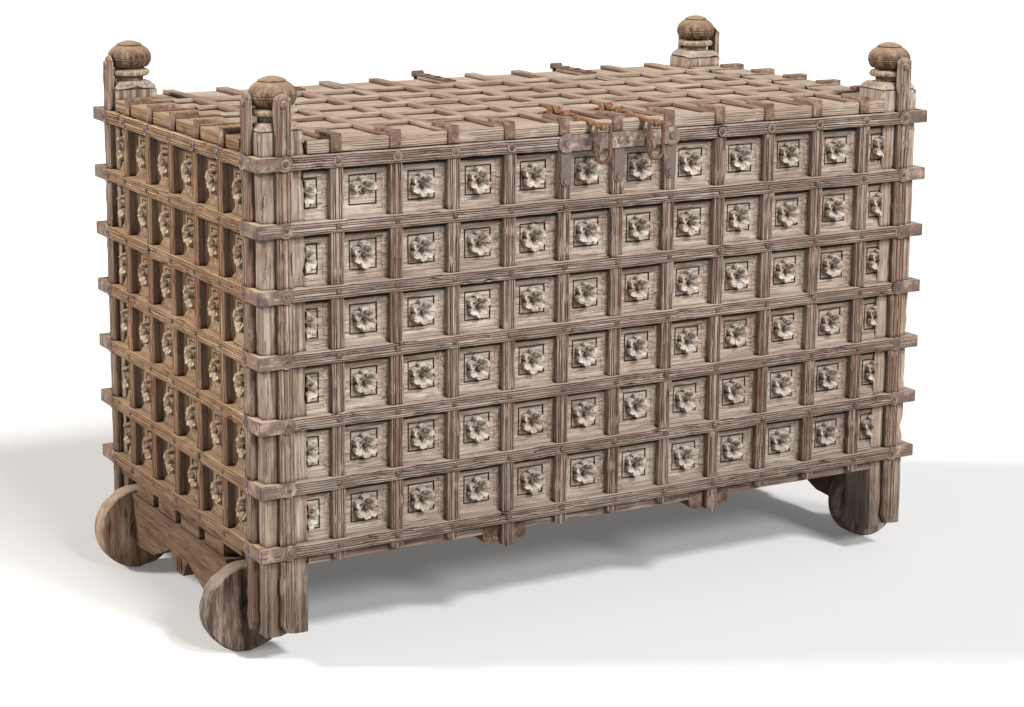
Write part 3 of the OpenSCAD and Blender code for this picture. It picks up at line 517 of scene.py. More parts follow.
class Side(Enum):
    """A wall of the chest: its name, its turn and how many lattice lines it has."""

    FRONT = ("front", 0.0)
    BACK = ("back", 180.0)
    LEFT = ("left", -90.0)
    RIGHT = ("right", 90.0)

    @property
    def title(self) -> str:
        """Name of the wall."""
        return self.value[0]

    @property
    def turn(self) -> float:
        """Turn of the wall from the front, in degrees."""
        return self.value[1]

    @property
    def is_long(self) -> bool:
        """True for the front and the back."""
        return self in (Side.FRONT, Side.BACK)

    @property
    def lines(self) -> int:
        """Number of the outermost lattice line."""
        return SIZES.front_lines if self.is_long else SIZES.end_lines

    @property
    def numbers(self) -> range:
        """Numbers of the wall's lattice lines, 0 in its middle."""
        return range(-self.lines, self.lines + 1)

    @property
    def slot(self) -> str:
        """Slot of the wall's panels and flowers."""
        return "pale_wood" if self.is_long else "tan_wood"

    @property
    def half(self) -> float:
        """Half the clear width between the posts."""
        return SIZES.post_in_x if self.is_long else SIZES.post_in_y

    @property
    def strap_at(self) -> float:
        """Distance of the post straps from the middle of the wall."""
        return SIZES.front_strap_at if self.is_long else SIZES.end_strap_at

    @property
    def grain(self) -> Grain:
        """Fibres of what runs along the wall."""
        return Grain.ALONG_X if self.is_long else Grain.ALONG_Y

    @property
    def place(self) -> Matrix:
        """Wall coordinates, x along, y up and z out, to the frame.

        Returns:
            The placing matrix.
        """
        out = SIZES.box_y if self.is_long else SIZES.box_x
        return (PLAN @ turned(self.turn, "Z") @ Matrix.Translation((0.0, -out, 0.0))
                @ turned(90.0, "X"))


def corners() -> Iterable[tuple[str, float, float]]:
    """Walks round the four corners.

    Returns:
        Name of each corner, with its signs along and across the chest.
    """
    for row, sign_y in (("front", -1.0), ("back", 1.0)):
        for column, sign_x in (("left", -1.0), ("right", 1.0)):
            yield f"{row}_{column}", sign_x, sign_y


def upright_place(side: Side, along: float, low: float) -> Matrix:
    """Places a bar that climbs a wall: profile x along the wall, y out, length up.

    Args:
        side: The wall.
        along: Distance from the middle of the wall.
        low: Height of the foot.

    Returns:
        The placing matrix.
    """
    return side.place @ Matrix.Translation((along, low, 0.0)) @ SWAP_Y_Z


def level_place(side: Side, start: float, height: float) -> Matrix:
    """Places a bar that runs along a wall: profile x up, y out, length along.

    Args:
        side: The wall.
        start: Where the bar starts, from the middle of the wall.
        height: Height of the bar's middle.

    Returns:
        The placing matrix.
    """
    return side.place @ Matrix.Translation((start, height, 0.0)) @ Z_TO_X


@dataclass(frozen=True)
class Reeding:
    """Fine grooves along the outer face of a bar, and its worn outer corners."""

    middles: tuple[float, ...]
    groove_w: float
    groove_d: float
    chamfer: float

    def section(self, width: float, depth: float) -> Points:
        """Section of a bar.

        Args:
            width: Width of the bar.
            depth: How far it stands out.

        Returns:
            The outline, starting at the inner left corner.
        """
        half = width / 2.0
        outline: Points = [(-half, 0.0), (half, 0.0), (half, depth - self.chamfer),
                           (half - self.chamfer, depth)]
        for middle in sorted(self.middles, reverse=True):
            outline += [(middle + self.groove_w / 2.0, depth), (middle, depth - self.groove_d),
                        (middle - self.groove_w / 2.0, depth)]
        return outline + [(self.chamfer - half, depth), (-half, depth - self.chamfer)]


@dataclass(frozen=True)
class Wear:
    """How far a surface wanders, its deepest chip, and the seed of both patterns."""

    sway: float
    chips: float = 0.0
    seed: float = 0.0


def skin(mesh: bmesh.types.BMesh, rings: Sequence[Verts]) -> Verts:
    """Joins rings of vertices into a closed bar.

    Args:
        mesh: The mesh that holds the rings.
        rings: The rings, in order.

    Returns:
        The bar's vertices.
    """
    for ring, following in zip(rings, rings[1:]):
        for corner in range(len(ring)):
            mesh.faces.new((ring[corner - 1], ring[corner], following[corner],
                            following[corner - 1]))
    mesh.faces.new(reversed(rings[0]))
    mesh.faces.new(rings[-1])
    return [vert for ring in rings for vert in ring]


def sweep(mesh: bmesh.types.BMesh, outline: Points, length: float, steps: int,
          place: Matrix) -> Verts:
    """Extrudes an outline into a bar and divides it along its length.

    Args:
        mesh: Where the bar goes.
        outline: Section of the bar.
        length: Length of the bar.
        steps: Number of stretches along it.
        place: Where the bar stands.

    Returns:
        The bar's vertices.
    """
    verts = skin(mesh, [[mesh.verts.new((x, y, length * step / steps)) for x, y in outline]
                        for step in range(steps + 1)])
    bmesh.ops.transform(mesh, matrix=place, verts=verts)
    return verts


def block(mesh: bmesh.types.BMesh, low: Sequence[float], high: Sequence[float],
          place: Matrix = Matrix.Identity(4), round_off: float = 0.0015,
          grid: float = 0.0) -> Verts:
    """Adds a box with worn corners.

    Args:
        mesh: Where the box goes.
        low: Its lowest corner.
        high: Its highest corner.
        place: Matrix applied to the box.
        round_off: Size of the bevel, or 0 for none.
        grid: Spacing of extra cuts for weathering, or 0 for none.

    Returns:
        The box's vertices.
    """
    size = Vector(high) - Vector(low)
    middle = (Vector(high) + Vector(low)) / 2.0
    verts = bmesh.ops.create_cube(mesh, size=1.0)["verts"]
    bmesh.ops.scale(mesh, vec=size, verts=verts)
    bmesh.ops.translate(mesh, vec=middle, verts=verts)
    everything = dict.fromkeys(verts)
    if grid > 0.0:
        for axis, normal in enumerate(AXES):
            cuts = int(size[axis] / grid)
            for number in range(1, cuts + 1):
                point = Vector(low)
                point[axis] += size[axis] * number / (cuts + 1)
                geom = list(everything)
                geom += dict.fromkeys(edge for vert in everything for edge in vert.link_edges)
                geom += dict.fromkeys(face for vert in everything for face in vert.link_faces)
                cut = bmesh.ops.bisect_plane(mesh, geom=geom, plane_co=point, plane_no=normal)
                everything.update(dict.fromkeys(item for item in cut["geom"]
                                                if isinstance(item, bmesh.types.BMVert)))
    if round_off > 0.0:
        linked = dict.fromkeys(edge for vert in everything for edge in vert.link_edges)
        edges = [edge for edge in linked
                 if len(edge.link_faces) == 2 and edge.calc_face_angle(0.0) > SHARP]
        made = bmesh.ops.bevel(mesh, geom=edges, offset=round_off, segments=2, profile=0.5,
                               affect="EDGES", material=-1, offset_type="OFFSET")
        everything = dict.fromkeys([vert for vert in everything if vert.is_valid]
                                   + made["verts"])
    result = list(everything)
    bmesh.ops.transform(mesh, matrix=place, verts=result)
    return result


def weather(mesh: bmesh.types.BMesh, verts: Iterable[bmesh.types.BMVert], wear: Wear,
            shift: float = 0.0) -> None:
    """Warps a piece a little and knocks chips off its corners.

    Args:
        mesh: The mesh that holds the piece.
        verts: The piece's vertices.
        wear: How much it is worn.
        shift: Added to the seed, so that two pieces differ.
    """
    mesh.normal_update()
    seed = wear.seed + shift
    offset = Vector((seed * 7.3, seed * 3.1, seed * 5.7))
    for vert in list(verts):
        wander = noise.noise_vector(vert.co * 9.0 + offset)
        fine = noise.noise_vector(vert.co * 55.0 - offset)
        move = wander * wear.sway + fine * wear.sway * 0.45
        if wear.chips > 0.0 and vert.calc_shell_factor() > 1.08:
            bite = noise.noise(vert.co * 38.0 + offset * 2.0) - 0.18
            if bite > 0.0:
                move -= vert.normal * min(bite * 2.2, 1.0) * wear.chips
        vert.co += move


def spin_profile(mesh: bmesh.types.BMesh, outline: Points, steps: int,
                 place: Matrix) -> Verts:
    """Turns a profile of radius and height about its own Z axis.

    Args:
        mesh: Where the turned piece goes.
        outline: Radius and height pairs. A radius of 0 closes the end.
        steps: Number of steps round.
        place: Where the piece stands.

    Returns:
        The piece's vertices.
    """
    line = [mesh.verts.new((radius, 0.0, height)) for radius, height in outline]
    edges = [mesh.edges.new(pair) for pair in zip(line, line[1:])]
    bmesh.ops.spin(mesh, geom=line + edges, cent=(0.0, 0.0, 0.0), axis=(0.0, 0.0, 1.0),
                   angle=2.0 * math.pi, steps=steps, use_merge=True)
    found = dict.fromkeys(line)
    queue = list(line)
    while queue:
        vert = queue.pop()
        for edge in vert.link_edges:
            other = edge.other_vert(vert)
            if other not in found:
                found[other] = None
                queue.append(other)
    bmesh.ops.remove_doubles(mesh, verts=list(found), dist=MERGED)
    verts = [vert for vert in found if vert.is_valid]
    bmesh.ops.transform(mesh, matrix=place, verts=verts)
    return verts


def dome_nail(mesh: bmesh.types.BMesh, radius: float, height: float, place: Matrix,
              sides: int = 8) -> None:
    """Adds a hammered nail head, flat below and domed above.

    Args:
        mesh: Where the head goes.
        radius: Radius of the head.
        height: Height of the head.
        place: Where the head sits, its own Z outwards.
        sides: Number of facets round the head.
    """
    for wide, narrow, share, middle in ((1.0, 0.86, 0.45, 0.225), (0.86, 0.3, 0.55, 0.725)):
        verts = bmesh.ops.create_cone(mesh, cap_ends=True, segments=sides,
                                      radius1=radius * wide, radius2=radius * narrow,
                                      depth=height * share)["verts"]
        bmesh.ops.translate(mesh, verts=verts, vec=(0.0, 0.0, height * middle))
        bmesh.ops.transform(mesh, matrix=place, verts=verts)


def disc(mesh: bmesh.types.BMesh, radius: float, low: float, high: float, place: Matrix,
         sides: int = 24) -> None:
    """Adds a round plate.

    Args:
        mesh: Where the plate goes.
        radius: Its radius.
        low: Its lower height.
        high: Its upper height.
        place: Where it sits.
        sides: Number of sides.
    """
    verts = bmesh.ops.create_cone(mesh, cap_ends=True, segments=sides, radius1=radius,
                                  radius2=radius, depth=high - low)["verts"]
    bmesh.ops.translate(mesh, verts=verts, vec=(0.0, 0.0, (high + low) / 2.0))
    bmesh.ops.transform(mesh, matrix=place, verts=verts)


def tube(mesh: bmesh.types.BMesh, radius: float, start: Vector, end: Vector,
         sides: int) -> None:
    """Adds a round rod between two points.

    Args:
        mesh: Where the rod goes.
        radius: Its radius.
        start: Middle of one end.
        end: Middle of the other end.
        sides: Number of sides.
    """
    way = end - start
    verts = bmesh.ops.create_cone(mesh, cap_ends=True, segments=sides, radius1=radius,
                                  radius2=radius, depth=way.length)["verts"]
    turn = way.to_track_quat("Z", "Y").to_matrix().to_4x4()
    bmesh.ops.transform(mesh, matrix=Matrix.Translation((start + end) / 2.0) @ turn,
                        verts=verts)


def hand_over(mesh: bmesh.types.BMesh, name: str, finish: Finish, body: str,
              nodes: Sequence[str], smooth: bool = True) -> None:
    """Turns a finished bmesh into a piece that rides on a body.

    Args:
        mesh: The finished bmesh, which is freed.
        name: Name of the piece.
        finish: Its finish.
        body: The body that carries it.
        nodes: The CAD nodes that it stands for.
        smooth: True to shade flat only across sharp edges.
    """
    bmesh.ops.recalc_face_normals(mesh, faces=mesh.faces)
    for face in mesh.faces:
        face.smooth = smooth
    for edge in mesh.edges:
        if len(edge.link_faces) == 2 and edge.calc_face_angle(0.0) > SHARP:
            edge.smooth = False
    data = bpy.data.meshes.new(name)
    mesh.to_mesh(data)
    mesh.free()
    data.materials.append(finish.material())
    piece = bpy.data.objects.new(name, data)
    bpy.context.scene.collection.objects.link(piece)
    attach(piece, body)
    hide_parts(*nodes)
    log.info("%s: %d faces on %s", name, len(data.polygons), body)


def dress(node: str, finish: Finish) -> None:
    """Gives a CAD node that stays in view a new finish.

    Args:
        node: Name of the node.
        finish: Its finish.
    """
    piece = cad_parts[node]
    for place in piece.material_slots:
        place.material = finish.material()
    log.info("%s keeps its CAD shape", node)


def palette(dark: Colour, middle: Colour, pale: Colour, stain: Colour) -> Palette:
    """The four colours of a wood, by the names of the finish's fields."""
    return dict(dark=dark, middle=middle, pale=pale, stain=stain)


# The WARM palettes are painted warm light: copies of the palettes before them, tinted warmer for
# the sunlit left end.
PANEL = palette((78, 62, 52), (172, 154, 139), (230, 216, 202), (140, 106, 88))
WARM_PANEL = palette((72, 50, 36), (158, 126, 97), (228, 203, 172), (132, 88, 62))
BAND = palette((48, 35, 29), (140, 117, 104), (220, 203, 188), (124, 84, 68))
WARM_BAND = palette((54, 36, 26), (160, 121, 90), (226, 194, 158), (136, 84, 58))
UPRIGHT = palette((52, 38, 31), (138, 117, 104), (210, 192, 177), (122, 84, 68))
WARM_UPRIGHT = palette((60, 41, 31), (154, 116, 90), (218, 184, 150), (144, 82, 58))
FLOWER = palette((90, 71, 59), (196, 180, 166), (242, 232, 220), (138, 108, 92))
WARM_FLOWER = palette((80, 58, 41), (206, 179, 147), (246, 229, 204), (140, 98, 70))
# Near-black colours of the painted shadow strips under the bands.
REBATE = palette((14, 10, 8), (30, 22, 17), (70, 54, 43), (26, 18, 14))
STRAP = palette((54, 40, 33), (142, 118, 102), (208, 190, 174), (126, 82, 62))
COLLAR = palette((78, 59, 45), (158, 136, 113), (214, 196, 172), (128, 94, 70))
DOME = palette((42, 28, 22), (105, 77, 60), (186, 160, 134), (100, 57, 39))
BEARER = palette((58, 42, 35), (112, 88, 75), (166, 143, 126), (94, 64, 51))
LID_BOARD = palette((92, 72, 59), (174, 152, 135), (224, 207, 189), (142, 108, 87))
LONG_BATTEN = palette((90, 70, 57), (168, 146, 128), (220, 202, 184), (138, 102, 82))
CROSS_BATTEN = palette((78, 58, 46), (150, 125, 107), (208, 188, 169), (126, 88, 68))
RAIL = palette((84, 66, 54), (156, 135, 118), (206, 188, 171), (132, 98, 80))
WARM_RAIL = palette((72, 50, 36), (148, 116, 88), (210, 182, 151), (132, 88, 62))


def shade(side: Side, cool: Palette, warm: Palette) -> Palette:
    """The sunlit left end gets the warm palette, painted warm light, and the other walls the plain
    one.
    """
    return warm if side is Side.LEFT else cool


@dataclass
class Lattice:
    """The bands and uprights of one wall, with painted shadow strips under the bands."""

    side: Side
    band_reeds: Reeding = Reeding((-0.0100, -0.0052, 0.0008, 0.0046, 0.0094), 0.0024, 0.0020,
                                  0.0016)
    upright_reeds: Reeding = Reeding((-0.0088, -0.0046, 0.0046, 0.0088), 0.0024, 0.0019,
                                     0.0015)
    tail: float = 0.0245
    bearer_tail: float = 0.030
    bearer_line: int = 2
    tip: float = 0.008
    shortest: float = 0.45
    rebate_h: float = 0.0080
    rebate_t: float = 0.0016
    overlap: float = 0.001
    band_short: float = 0.003
    band_wear: Wear = Wear(0.0009, 0.0042, 3.0)
    rebate_wear: Wear = Wear(0.0012, seed=8.0)
    upright_wear: Wear = Wear(0.0009, 0.0034, 40.0)

    def bands(self) -> None:
        """Builds the seven bands with their reeded faces."""
        side = self.side
        mesh = bmesh.new()
        reach = SIZES.box_x + SIZES.band_t - self.band_short if side.is_long else SIZES.box_y
        outline = self.band_reeds.section(SIZES.band_h, SIZES.band_t)
        for row in range(SIZES.rows + 1):
            verts = sweep(mesh, outline, 2.0 * reach, 90 if side.is_long else 46,
                          level_place(side, -reach, SIZES.band_z(row)))
            weather(mesh, verts, self.band_wear, row + side.lines)
        finish = wood_in(side.grain, f"band wood {side.title}", slot="batten_wood",
                         across=260.0, along=7.0, **shade(side, BAND, WARM_BAND))
        hand_over(mesh, f"{side.title}_bands_reeded", finish, CHEST, [f"{side.title}_bands"])

    def rebates(self) -> None:
        """Builds painted shadow strips: a near-black strip under each band, where the band's
        shadow falls on the panel below.
        """
        side = self.side
        mesh = bmesh.new()
        for row in range(1, SIZES.rows + 1):
            under = SIZES.band_z(row) - SIZES.band_h / 2.0
            block(mesh, (-side.half, under - self.rebate_h, -self.overlap),
                  (side.half, under + self.overlap, self.rebate_t), side.place,
                  round_off=0.0004, grid=0.05)
        weather(mesh, mesh.verts, self.rebate_wear, side.lines)
        finish = wood_in(side.grain, f"rebate wood {side.title}", slot="dark_wood",
                         across=200.0, along=12.0, dust=0.1, **REBATE)
        hand_over(mesh, f"{side.title}_bands_rebates", finish, CHEST, [f"{side.title}_bands"])

    def uprights(self) -> None:
        """Builds the uprights, with pointed tails below the front and the back."""
        side = self.side
        mesh = bmesh.new()
        outline = self.upright_reeds.section(SIZES.upright_w, SIZES.upright_t)
        chance = random.Random(side.title)
        for line in side.numbers:
            tail = 0.0
            if side.is_long:
                tail = (self.tail + self.bearer_tail if abs(line) == self.bearer_line
                        else self.tail * chance.uniform(self.shortest, 1.0))
            low = SIZES.base_z - tail
            verts = sweep(mesh, outline, SIZES.rim_z - low, 56,
                          upright_place(side, line * SIZES.pitch, low))
            if tail:
                self.point(verts, line * SIZES.pitch, low)
            weather(mesh, verts, self.upright_wear, line * 2.0 + side.lines)
        # On the left end, faces of the uprights that look to the front get a grey tint: painted
        # shade.
        finish = wood_in(Grain.ALONG_Z, f"upright wood {side.title}", slot="batten_wood",
                         across=250.0, along=7.0,
                         flank=(118, 110, 104) if side is Side.LEFT else None,
                         **shade(side, UPRIGHT, WARM_UPRIGHT))
        hand_over(mesh, f"{side.title}_battens_reeded", finish, CHEST,
                  [f"{side.title}_battens"])

    def point(self, verts: Verts, along: float, low: float) -> None:
        """Cuts the foot of an upright to a point.

        Args:
            verts: The upright's vertices.
            along: Its place along the wall.
            low: Height of the foot.
        """
        back = self.side.place.inverted()
        for vert in verts:
            if vert.co.z < low + self.overlap:
                across = abs((back @ vert.co).x - along) / (SIZES.upright_w / 2.0)
                vert.co.z += self.tip * across


@dataclass
class Panels:
    """The sunk, moulded squares of one wall."""

    side: Side
    thick: float = 0.014
    block_w: float = 0.057
    block_t: float = 0.0034
    steps: tuple[tuple[float, float], ...] = (
        (0.0016, 0.0002), (0.0005, 0.0022), (0.0030, 0.0002), (0.0005, 0.0010),
        (0.0024, 0.0002), (0.0005, 0.0010), (0.0024, 0.0002), (0.0005, 0.0010),
        (0.0092, 0.0010), (0.0003, 0.0030), (0.0002, 0.0010))
    block_edge: float = 0.0008
    widest: float = 0.05
    cuts: int = 3
    wear: Wear = Wear(0.0008, 0.0022, 11.0)

    def build(self) -> None:
        """Builds the panel slab with a moulded pocket in each square."""
        mesh = bmesh.new()
        side = self.side
        reach = (side.lines + 1) * SIZES.pitch - SIZES.upright_w / 2.0
        verts = bmesh.ops.create_cube(mesh, size=1.0)["verts"]
        high = SIZES.rim_z - SIZES.base_z
        bmesh.ops.scale(mesh, vec=(2.0 * reach, high, self.thick), verts=verts)
        bmesh.ops.translate(mesh, vec=(0.0, SIZES.base_z + high / 2.0, -self.thick / 2.0),
                            verts=verts)
        for line in side.numbers:
            for edge in BOTH_WAYS:
                self.cut(mesh, (line * SIZES.pitch + edge * SIZES.upright_w / 2.0) * AXES[0],
                         AXES[0])
        for row in range(SIZES.rows + 1):
            for edge in BOTH_WAYS:
                self.cut(mesh, (SIZES.band_z(row) + edge * SIZES.band_h / 2.0) * AXES[1],
                         AXES[1])
        self.mould(mesh)
        bmesh.ops.transform(mesh, matrix=side.place, verts=mesh.verts)
        weather(mesh, mesh.verts, self.wear, side.turn / 30.0)
        bmesh.ops.transform(mesh, matrix=side.place.inverted(), verts=mesh.verts)
        trim_to_posts(mesh, side)
        bmesh.ops.transform(mesh, matrix=side.place, verts=mesh.verts)
        finish = wood_in(side.grain if side.is_long else Grain.ALONG_Z,
                         f"panel wood {side.title}", slot=side.slot, across=200.0, along=6.0,
                         stain_share=0.3, dirt_reach=0.0055, **shade(side, PANEL, WARM_PANEL))
        hand_over(mesh, f"{side.title}_coffers_moulded", finish, CHEST,
                  [f"{side.title}_coffers"])

    def mould(self, mesh: bmesh.types.BMesh) -> None:
        """Steps each square down to its floor and leaves a block in the middle.

        Args:
            mesh: The slab, already cut along the edges of the squares.
        """
        faces = [face for face in mesh.faces
                 if face.normal.z > 0.9 and min(face_size(face)) > SIZES.upright_w * 1.5]
        for inset, drop in self.steps:
            bmesh.ops.inset_individual(mesh, faces=faces, thickness=inset, depth=-drop,
                                       use_even_offset=True)
        margin = (min(face_size(faces[0])) - self.block_w) / 2.0
        for inset, rise in ((margin, 0.0), (self.block_edge, self.block_t)):
            bmesh.ops.inset_individual(mesh, faces=faces, thickness=inset, depth=rise,
                                       use_even_offset=True)
        wide = [edge for edge in mesh.edges if edge.calc_length() > self.widest]
        bmesh.ops.subdivide_edges(mesh, edges=wide, cuts=self.cuts, use_grid_fill=True)

    def cut(self, mesh: bmesh.types.BMesh, point: Vector, normal: Vector) -> None:
        """Divides the whole slab along a plane."""
        bmesh.ops.bisect_plane(mesh, geom=mesh.verts[:] + mesh.edges[:] + mesh.faces[:],
                               plane_co=point, plane_no=normal)


def face_size(face: bmesh.types.BMFace) -> tuple[float, float]:
    """Measures an upright face.

    Args:
        face: The face, in wall coordinates.

    Returns:
        Its width and height.
    """
    across = [vert.co.x for vert in face.verts]
    up = [vert.co.y for vert in face.verts]
    return max(across) - min(across), max(up) - min(up)


def trim_to_posts(mesh: bmesh.types.BMesh, side: Side) -> None:
    """Cuts what runs past the inner faces of the posts, and closes the cut.

    Args:
        mesh: A mesh in wall coordinates.
        side: The wall.
    """
    for sign in BOTH_WAYS:
        cut = bmesh.ops.bisect_plane(
            mesh, geom=mesh.verts[:] + mesh.edges[:] + mesh.faces[:],
            plane_co=(sign * side.half, 0.0, 0.0), plane_no=(sign, 0.0, 0.0), clear_outer=True)
        rim = [item for item in cut["geom_cut"] if isinstance(item, bmesh.types.BMEdge)]
        bmesh.ops.edgeloop_fill(mesh, edges=[edge for edge in rim if edge.is_boundary])


@dataclass
class Flowers:
    """The carved flowers of one wall, six cupped petals round a stud."""

    side: Side
    petals: int = 6
    reach: tuple[float, ...] = (0.0045, 0.0120, 0.0205, 0.0268)
    spread: tuple[float, ...] = (0.0, 0.0050, 0.0099, 0.0074)
    height: tuple[float, ...] = (0.0030, 0.0084, 0.0164, 0.0172)
    crease: float = 0.0028
    point: float = 0.0034
    broken: tuple[int, int] = (5, -5)
    heart_r: float = 0.0086
    heart_t: float = 0.0056
    draft_out: float = 0.126
    draft_side: float = 1.084
    play: float = 0.001
    floor: float = -0.0085
    eye_r: float = 0.0050
    eye_t: float = 0.0092
    stud_r: float = 0.0058
    stud_h: float = 0.0044
    iron: IronFinish = IronFinish("flower studs", (46, 37, 32), (72, 57, 49), (140, 124, 113),
                                  "dark_iron", scale=150.0, dirt_reach=0.0015)

    def build(self) -> None:
        """Builds every flower of the wall and the studs in their middles."""
        side = self.side
        mesh, studs = bmesh.new(), bmesh.new()
        chance = random.Random(side.lines * 10 + int(side.turn))
        for row in range(SIZES.rows):
            for bay in range(-side.lines - 1, side.lines + 1):
                middle = Vector(((bay + 0.5) * SIZES.pitch + chance.uniform(-self.play, self.play),
                                 SIZES.band_z(row) + SIZES.pitch / 2.0
                                 + chance.uniform(-self.play, self.play), self.floor))
                self.flower(mesh, middle, chance,
                            side is Side.FRONT and (row, bay) == self.broken)
                dome_nail(studs, self.stud_r, self.stud_h, Matrix.Translation(
                    middle + (self.eye_t - SUNK) * AXES[2]), 12)
        for part in (mesh, studs):
            trim_to_posts(part, side)
            bmesh.ops.transform(part, matrix=side.place, verts=part.verts)
        name = f"{side.title}_rosettes"
        hand_over(studs, f"{name}_studs", self.iron, CHEST, [name])
        finish = wood_in(side.grain, f"flower wood {side.title}", slot=side.slot,
                         across=110.0, along=24.0, dirt_reach=0.013, stain_share=0.3,
                         **shade(side, FLOWER, WARM_FLOWER))
        hand_over(mesh, f"{name}_carved", finish, CHEST, [name], smooth=False)

    def flower(self, mesh: bmesh.types.BMesh, middle: Vector, chance: random.Random,
               broken: bool) -> None:
        """Builds one flower.

        Args:
            mesh: Where it goes.
            middle: Its middle on the block, in wall coordinates.
            chance: Source of the small differences between flowers.
            broken: Whether the lower petals have broken off.
        """
        turn = 30.0 + chance.uniform(-5.0, 5.0)
        for number in range(self.petals):
            angle = math.radians(turn + number * 360.0 / self.petals + chance.uniform(-4.0, 4.0))
            size = chance.uniform(0.90, 1.05)
            if not broken or math.sin(angle) > -0.2:
                self.petal(mesh, Matrix.Translation(middle) @ Matrix.Rotation(angle, 4, "Z"),
                           size)
        disc(mesh, self.heart_r, 0.0, self.heart_t, Matrix.Translation(middle), 6)
        disc(mesh, self.eye_r, 0.0, self.eye_t, Matrix.Translation(middle), 7)

    def petal(self, mesh: bmesh.types.BMesh, place: Matrix, size: float) -> None:
        """Builds one petal: a cupped top that rises outwards, with steep sides.

        Args:
            mesh: Where it goes.
            place: Its place, with the petal along X.
            size: Its size beside the usual.
        """
        heel = mesh.verts.new((self.reach[0], 0.0, self.height[0]))
        rows = []
        for reach, spread, height in zip(self.reach[1:], self.spread[1:], self.height[1:]):
            rows.append([mesh.verts.new((
                reach * size - (0.0 if side == 0.0 else self.point), side * spread * size,
                height * size - (self.crease if side == 0.0 else 0.0)))
                for side in (-1.0, 0.0, 1.0)])
        rim = [heel] + [row[0] for row in rows] + [rows[-1][1]] + [row[2] for row in rows[::-1]]
        mesh.faces.new((heel, rows[0][0], rows[0][1]))
        mesh.faces.new((heel, rows[0][1], rows[0][2]))
        for row, following in zip(rows, rows[1:]):
            for side in (0, 1):
                mesh.faces.new((row[side], following[side], following[side + 1], row[side + 1]))
        feet = [mesh.verts.new((vert.co.x + (vert.co.x - self.reach[1]) * self.draft_out,
                                vert.co.y * self.draft_side, 0.0)) for vert in rim]
        for corner in range(len(rim)):
            mesh.faces.new((rim[corner - 1], rim[corner], feet[corner], feet[corner - 1]))
        mesh.faces.new(feet)
        bmesh.ops.transform(mesh, matrix=place, verts=[heel] + sum(rows, []) + feet)


@dataclass
class Nails:
    """The nails of the walls: heads at each crossing, studs in the flowers."""

    head_r: float = 0.0070
    head_t: float = 0.0034
    washer_r: float = 0.0105
    washer_t: float = 0.0012
    stud_r: float = 0.0048
    stud_t: float = 0.0036
    eye_level: float = 0.0040
    extra_t: float = 0.0004
    lean: float = 0.10
    finish: IronFinish = IronFinish("dark nails", (66, 56, 52), (96, 78, 69), (156, 142, 133),
                                    "dark_iron", scale=150.0, dirt_reach=0.002)
    pale: IronFinish = IronFinish("nail washers", (112, 97, 88), (140, 121, 109),
                                  (182, 168, 157), "dark_iron", scale=120.0, rust_share=0.3,
                                  dirt_reach=0.0015)

    def crossings(self, side: Side, node: str, mesh: bmesh.types.BMesh,
                  washers: bmesh.types.BMesh, skip: Sequence[int]) -> None:
        """Adds the nails of one wall.

        Args:
            side: The wall.
            node: Name of the nails' node.
            mesh: Where the heads go.
            washers: Where the washers go.
            skip: Lines whose top nail belongs to an iron plate.
        """
        chance = random.Random(node + side.title)
        places = [(line, line * SIZES.pitch) for line in side.numbers]
        places += [(None, -side.strap_at), (None, side.strap_at)]
        for row in range(SIZES.rows + 1):
            top = row == SIZES.rows
            for line, along in places:
                if top and line is not None and abs(line) in skip:
                    continue
                where = Vector((along, SIZES.band_z(row), SIZES.band_t))
                tilt = Euler((chance.uniform(-self.lean, self.lean),
                              chance.uniform(-self.lean, self.lean),
                              chance.uniform(0.0, 1.0))).to_matrix().to_4x4()
                if top:
                    disc(washers, self.washer_r, -SUNK, self.washer_t,
                         side.place @ Matrix.Translation(where), 14)
                    where.z += self.washer_t
                where.z -= SUNK
                dome_nail(mesh, self.head_r * chance.uniform(0.88, 1.05),
                          self.head_t + self.extra_t,
                          side.place @ Matrix.Translation(where) @ tilt)
        for row in range(SIZES.rows):
            for bay in range(-side.lines, side.lines):
                where = Vector(((bay + 0.5) * SIZES.pitch, SIZES.band_z(row) + SIZES.pitch / 2.0,
                                self.eye_level - SUNK))
                dome_nail(mesh, self.stud_r * chance.uniform(0.85, 1.1), self.stud_t,
                          side.place @ Matrix.Translation(where), 7)

    def build(self) -> None:
        """Builds the nails of all four walls."""
        for node, sides, skip in (("front_nails", (Side.FRONT,), (0, 1)),
                                  ("back_nails", (Side.BACK,), (0, 3)),
                                  ("end_nails", (Side.LEFT, Side.RIGHT), ())):
            mesh, washers = bmesh.new(), bmesh.new()
            for side in sides:
                self.crossings(side, node, mesh, washers, skip)
            hand_over(mesh, f"{node}_hammered", self.finish, CHEST, [node])
            hand_over(washers, f"{node}_washers", self.pale, CHEST, [node])


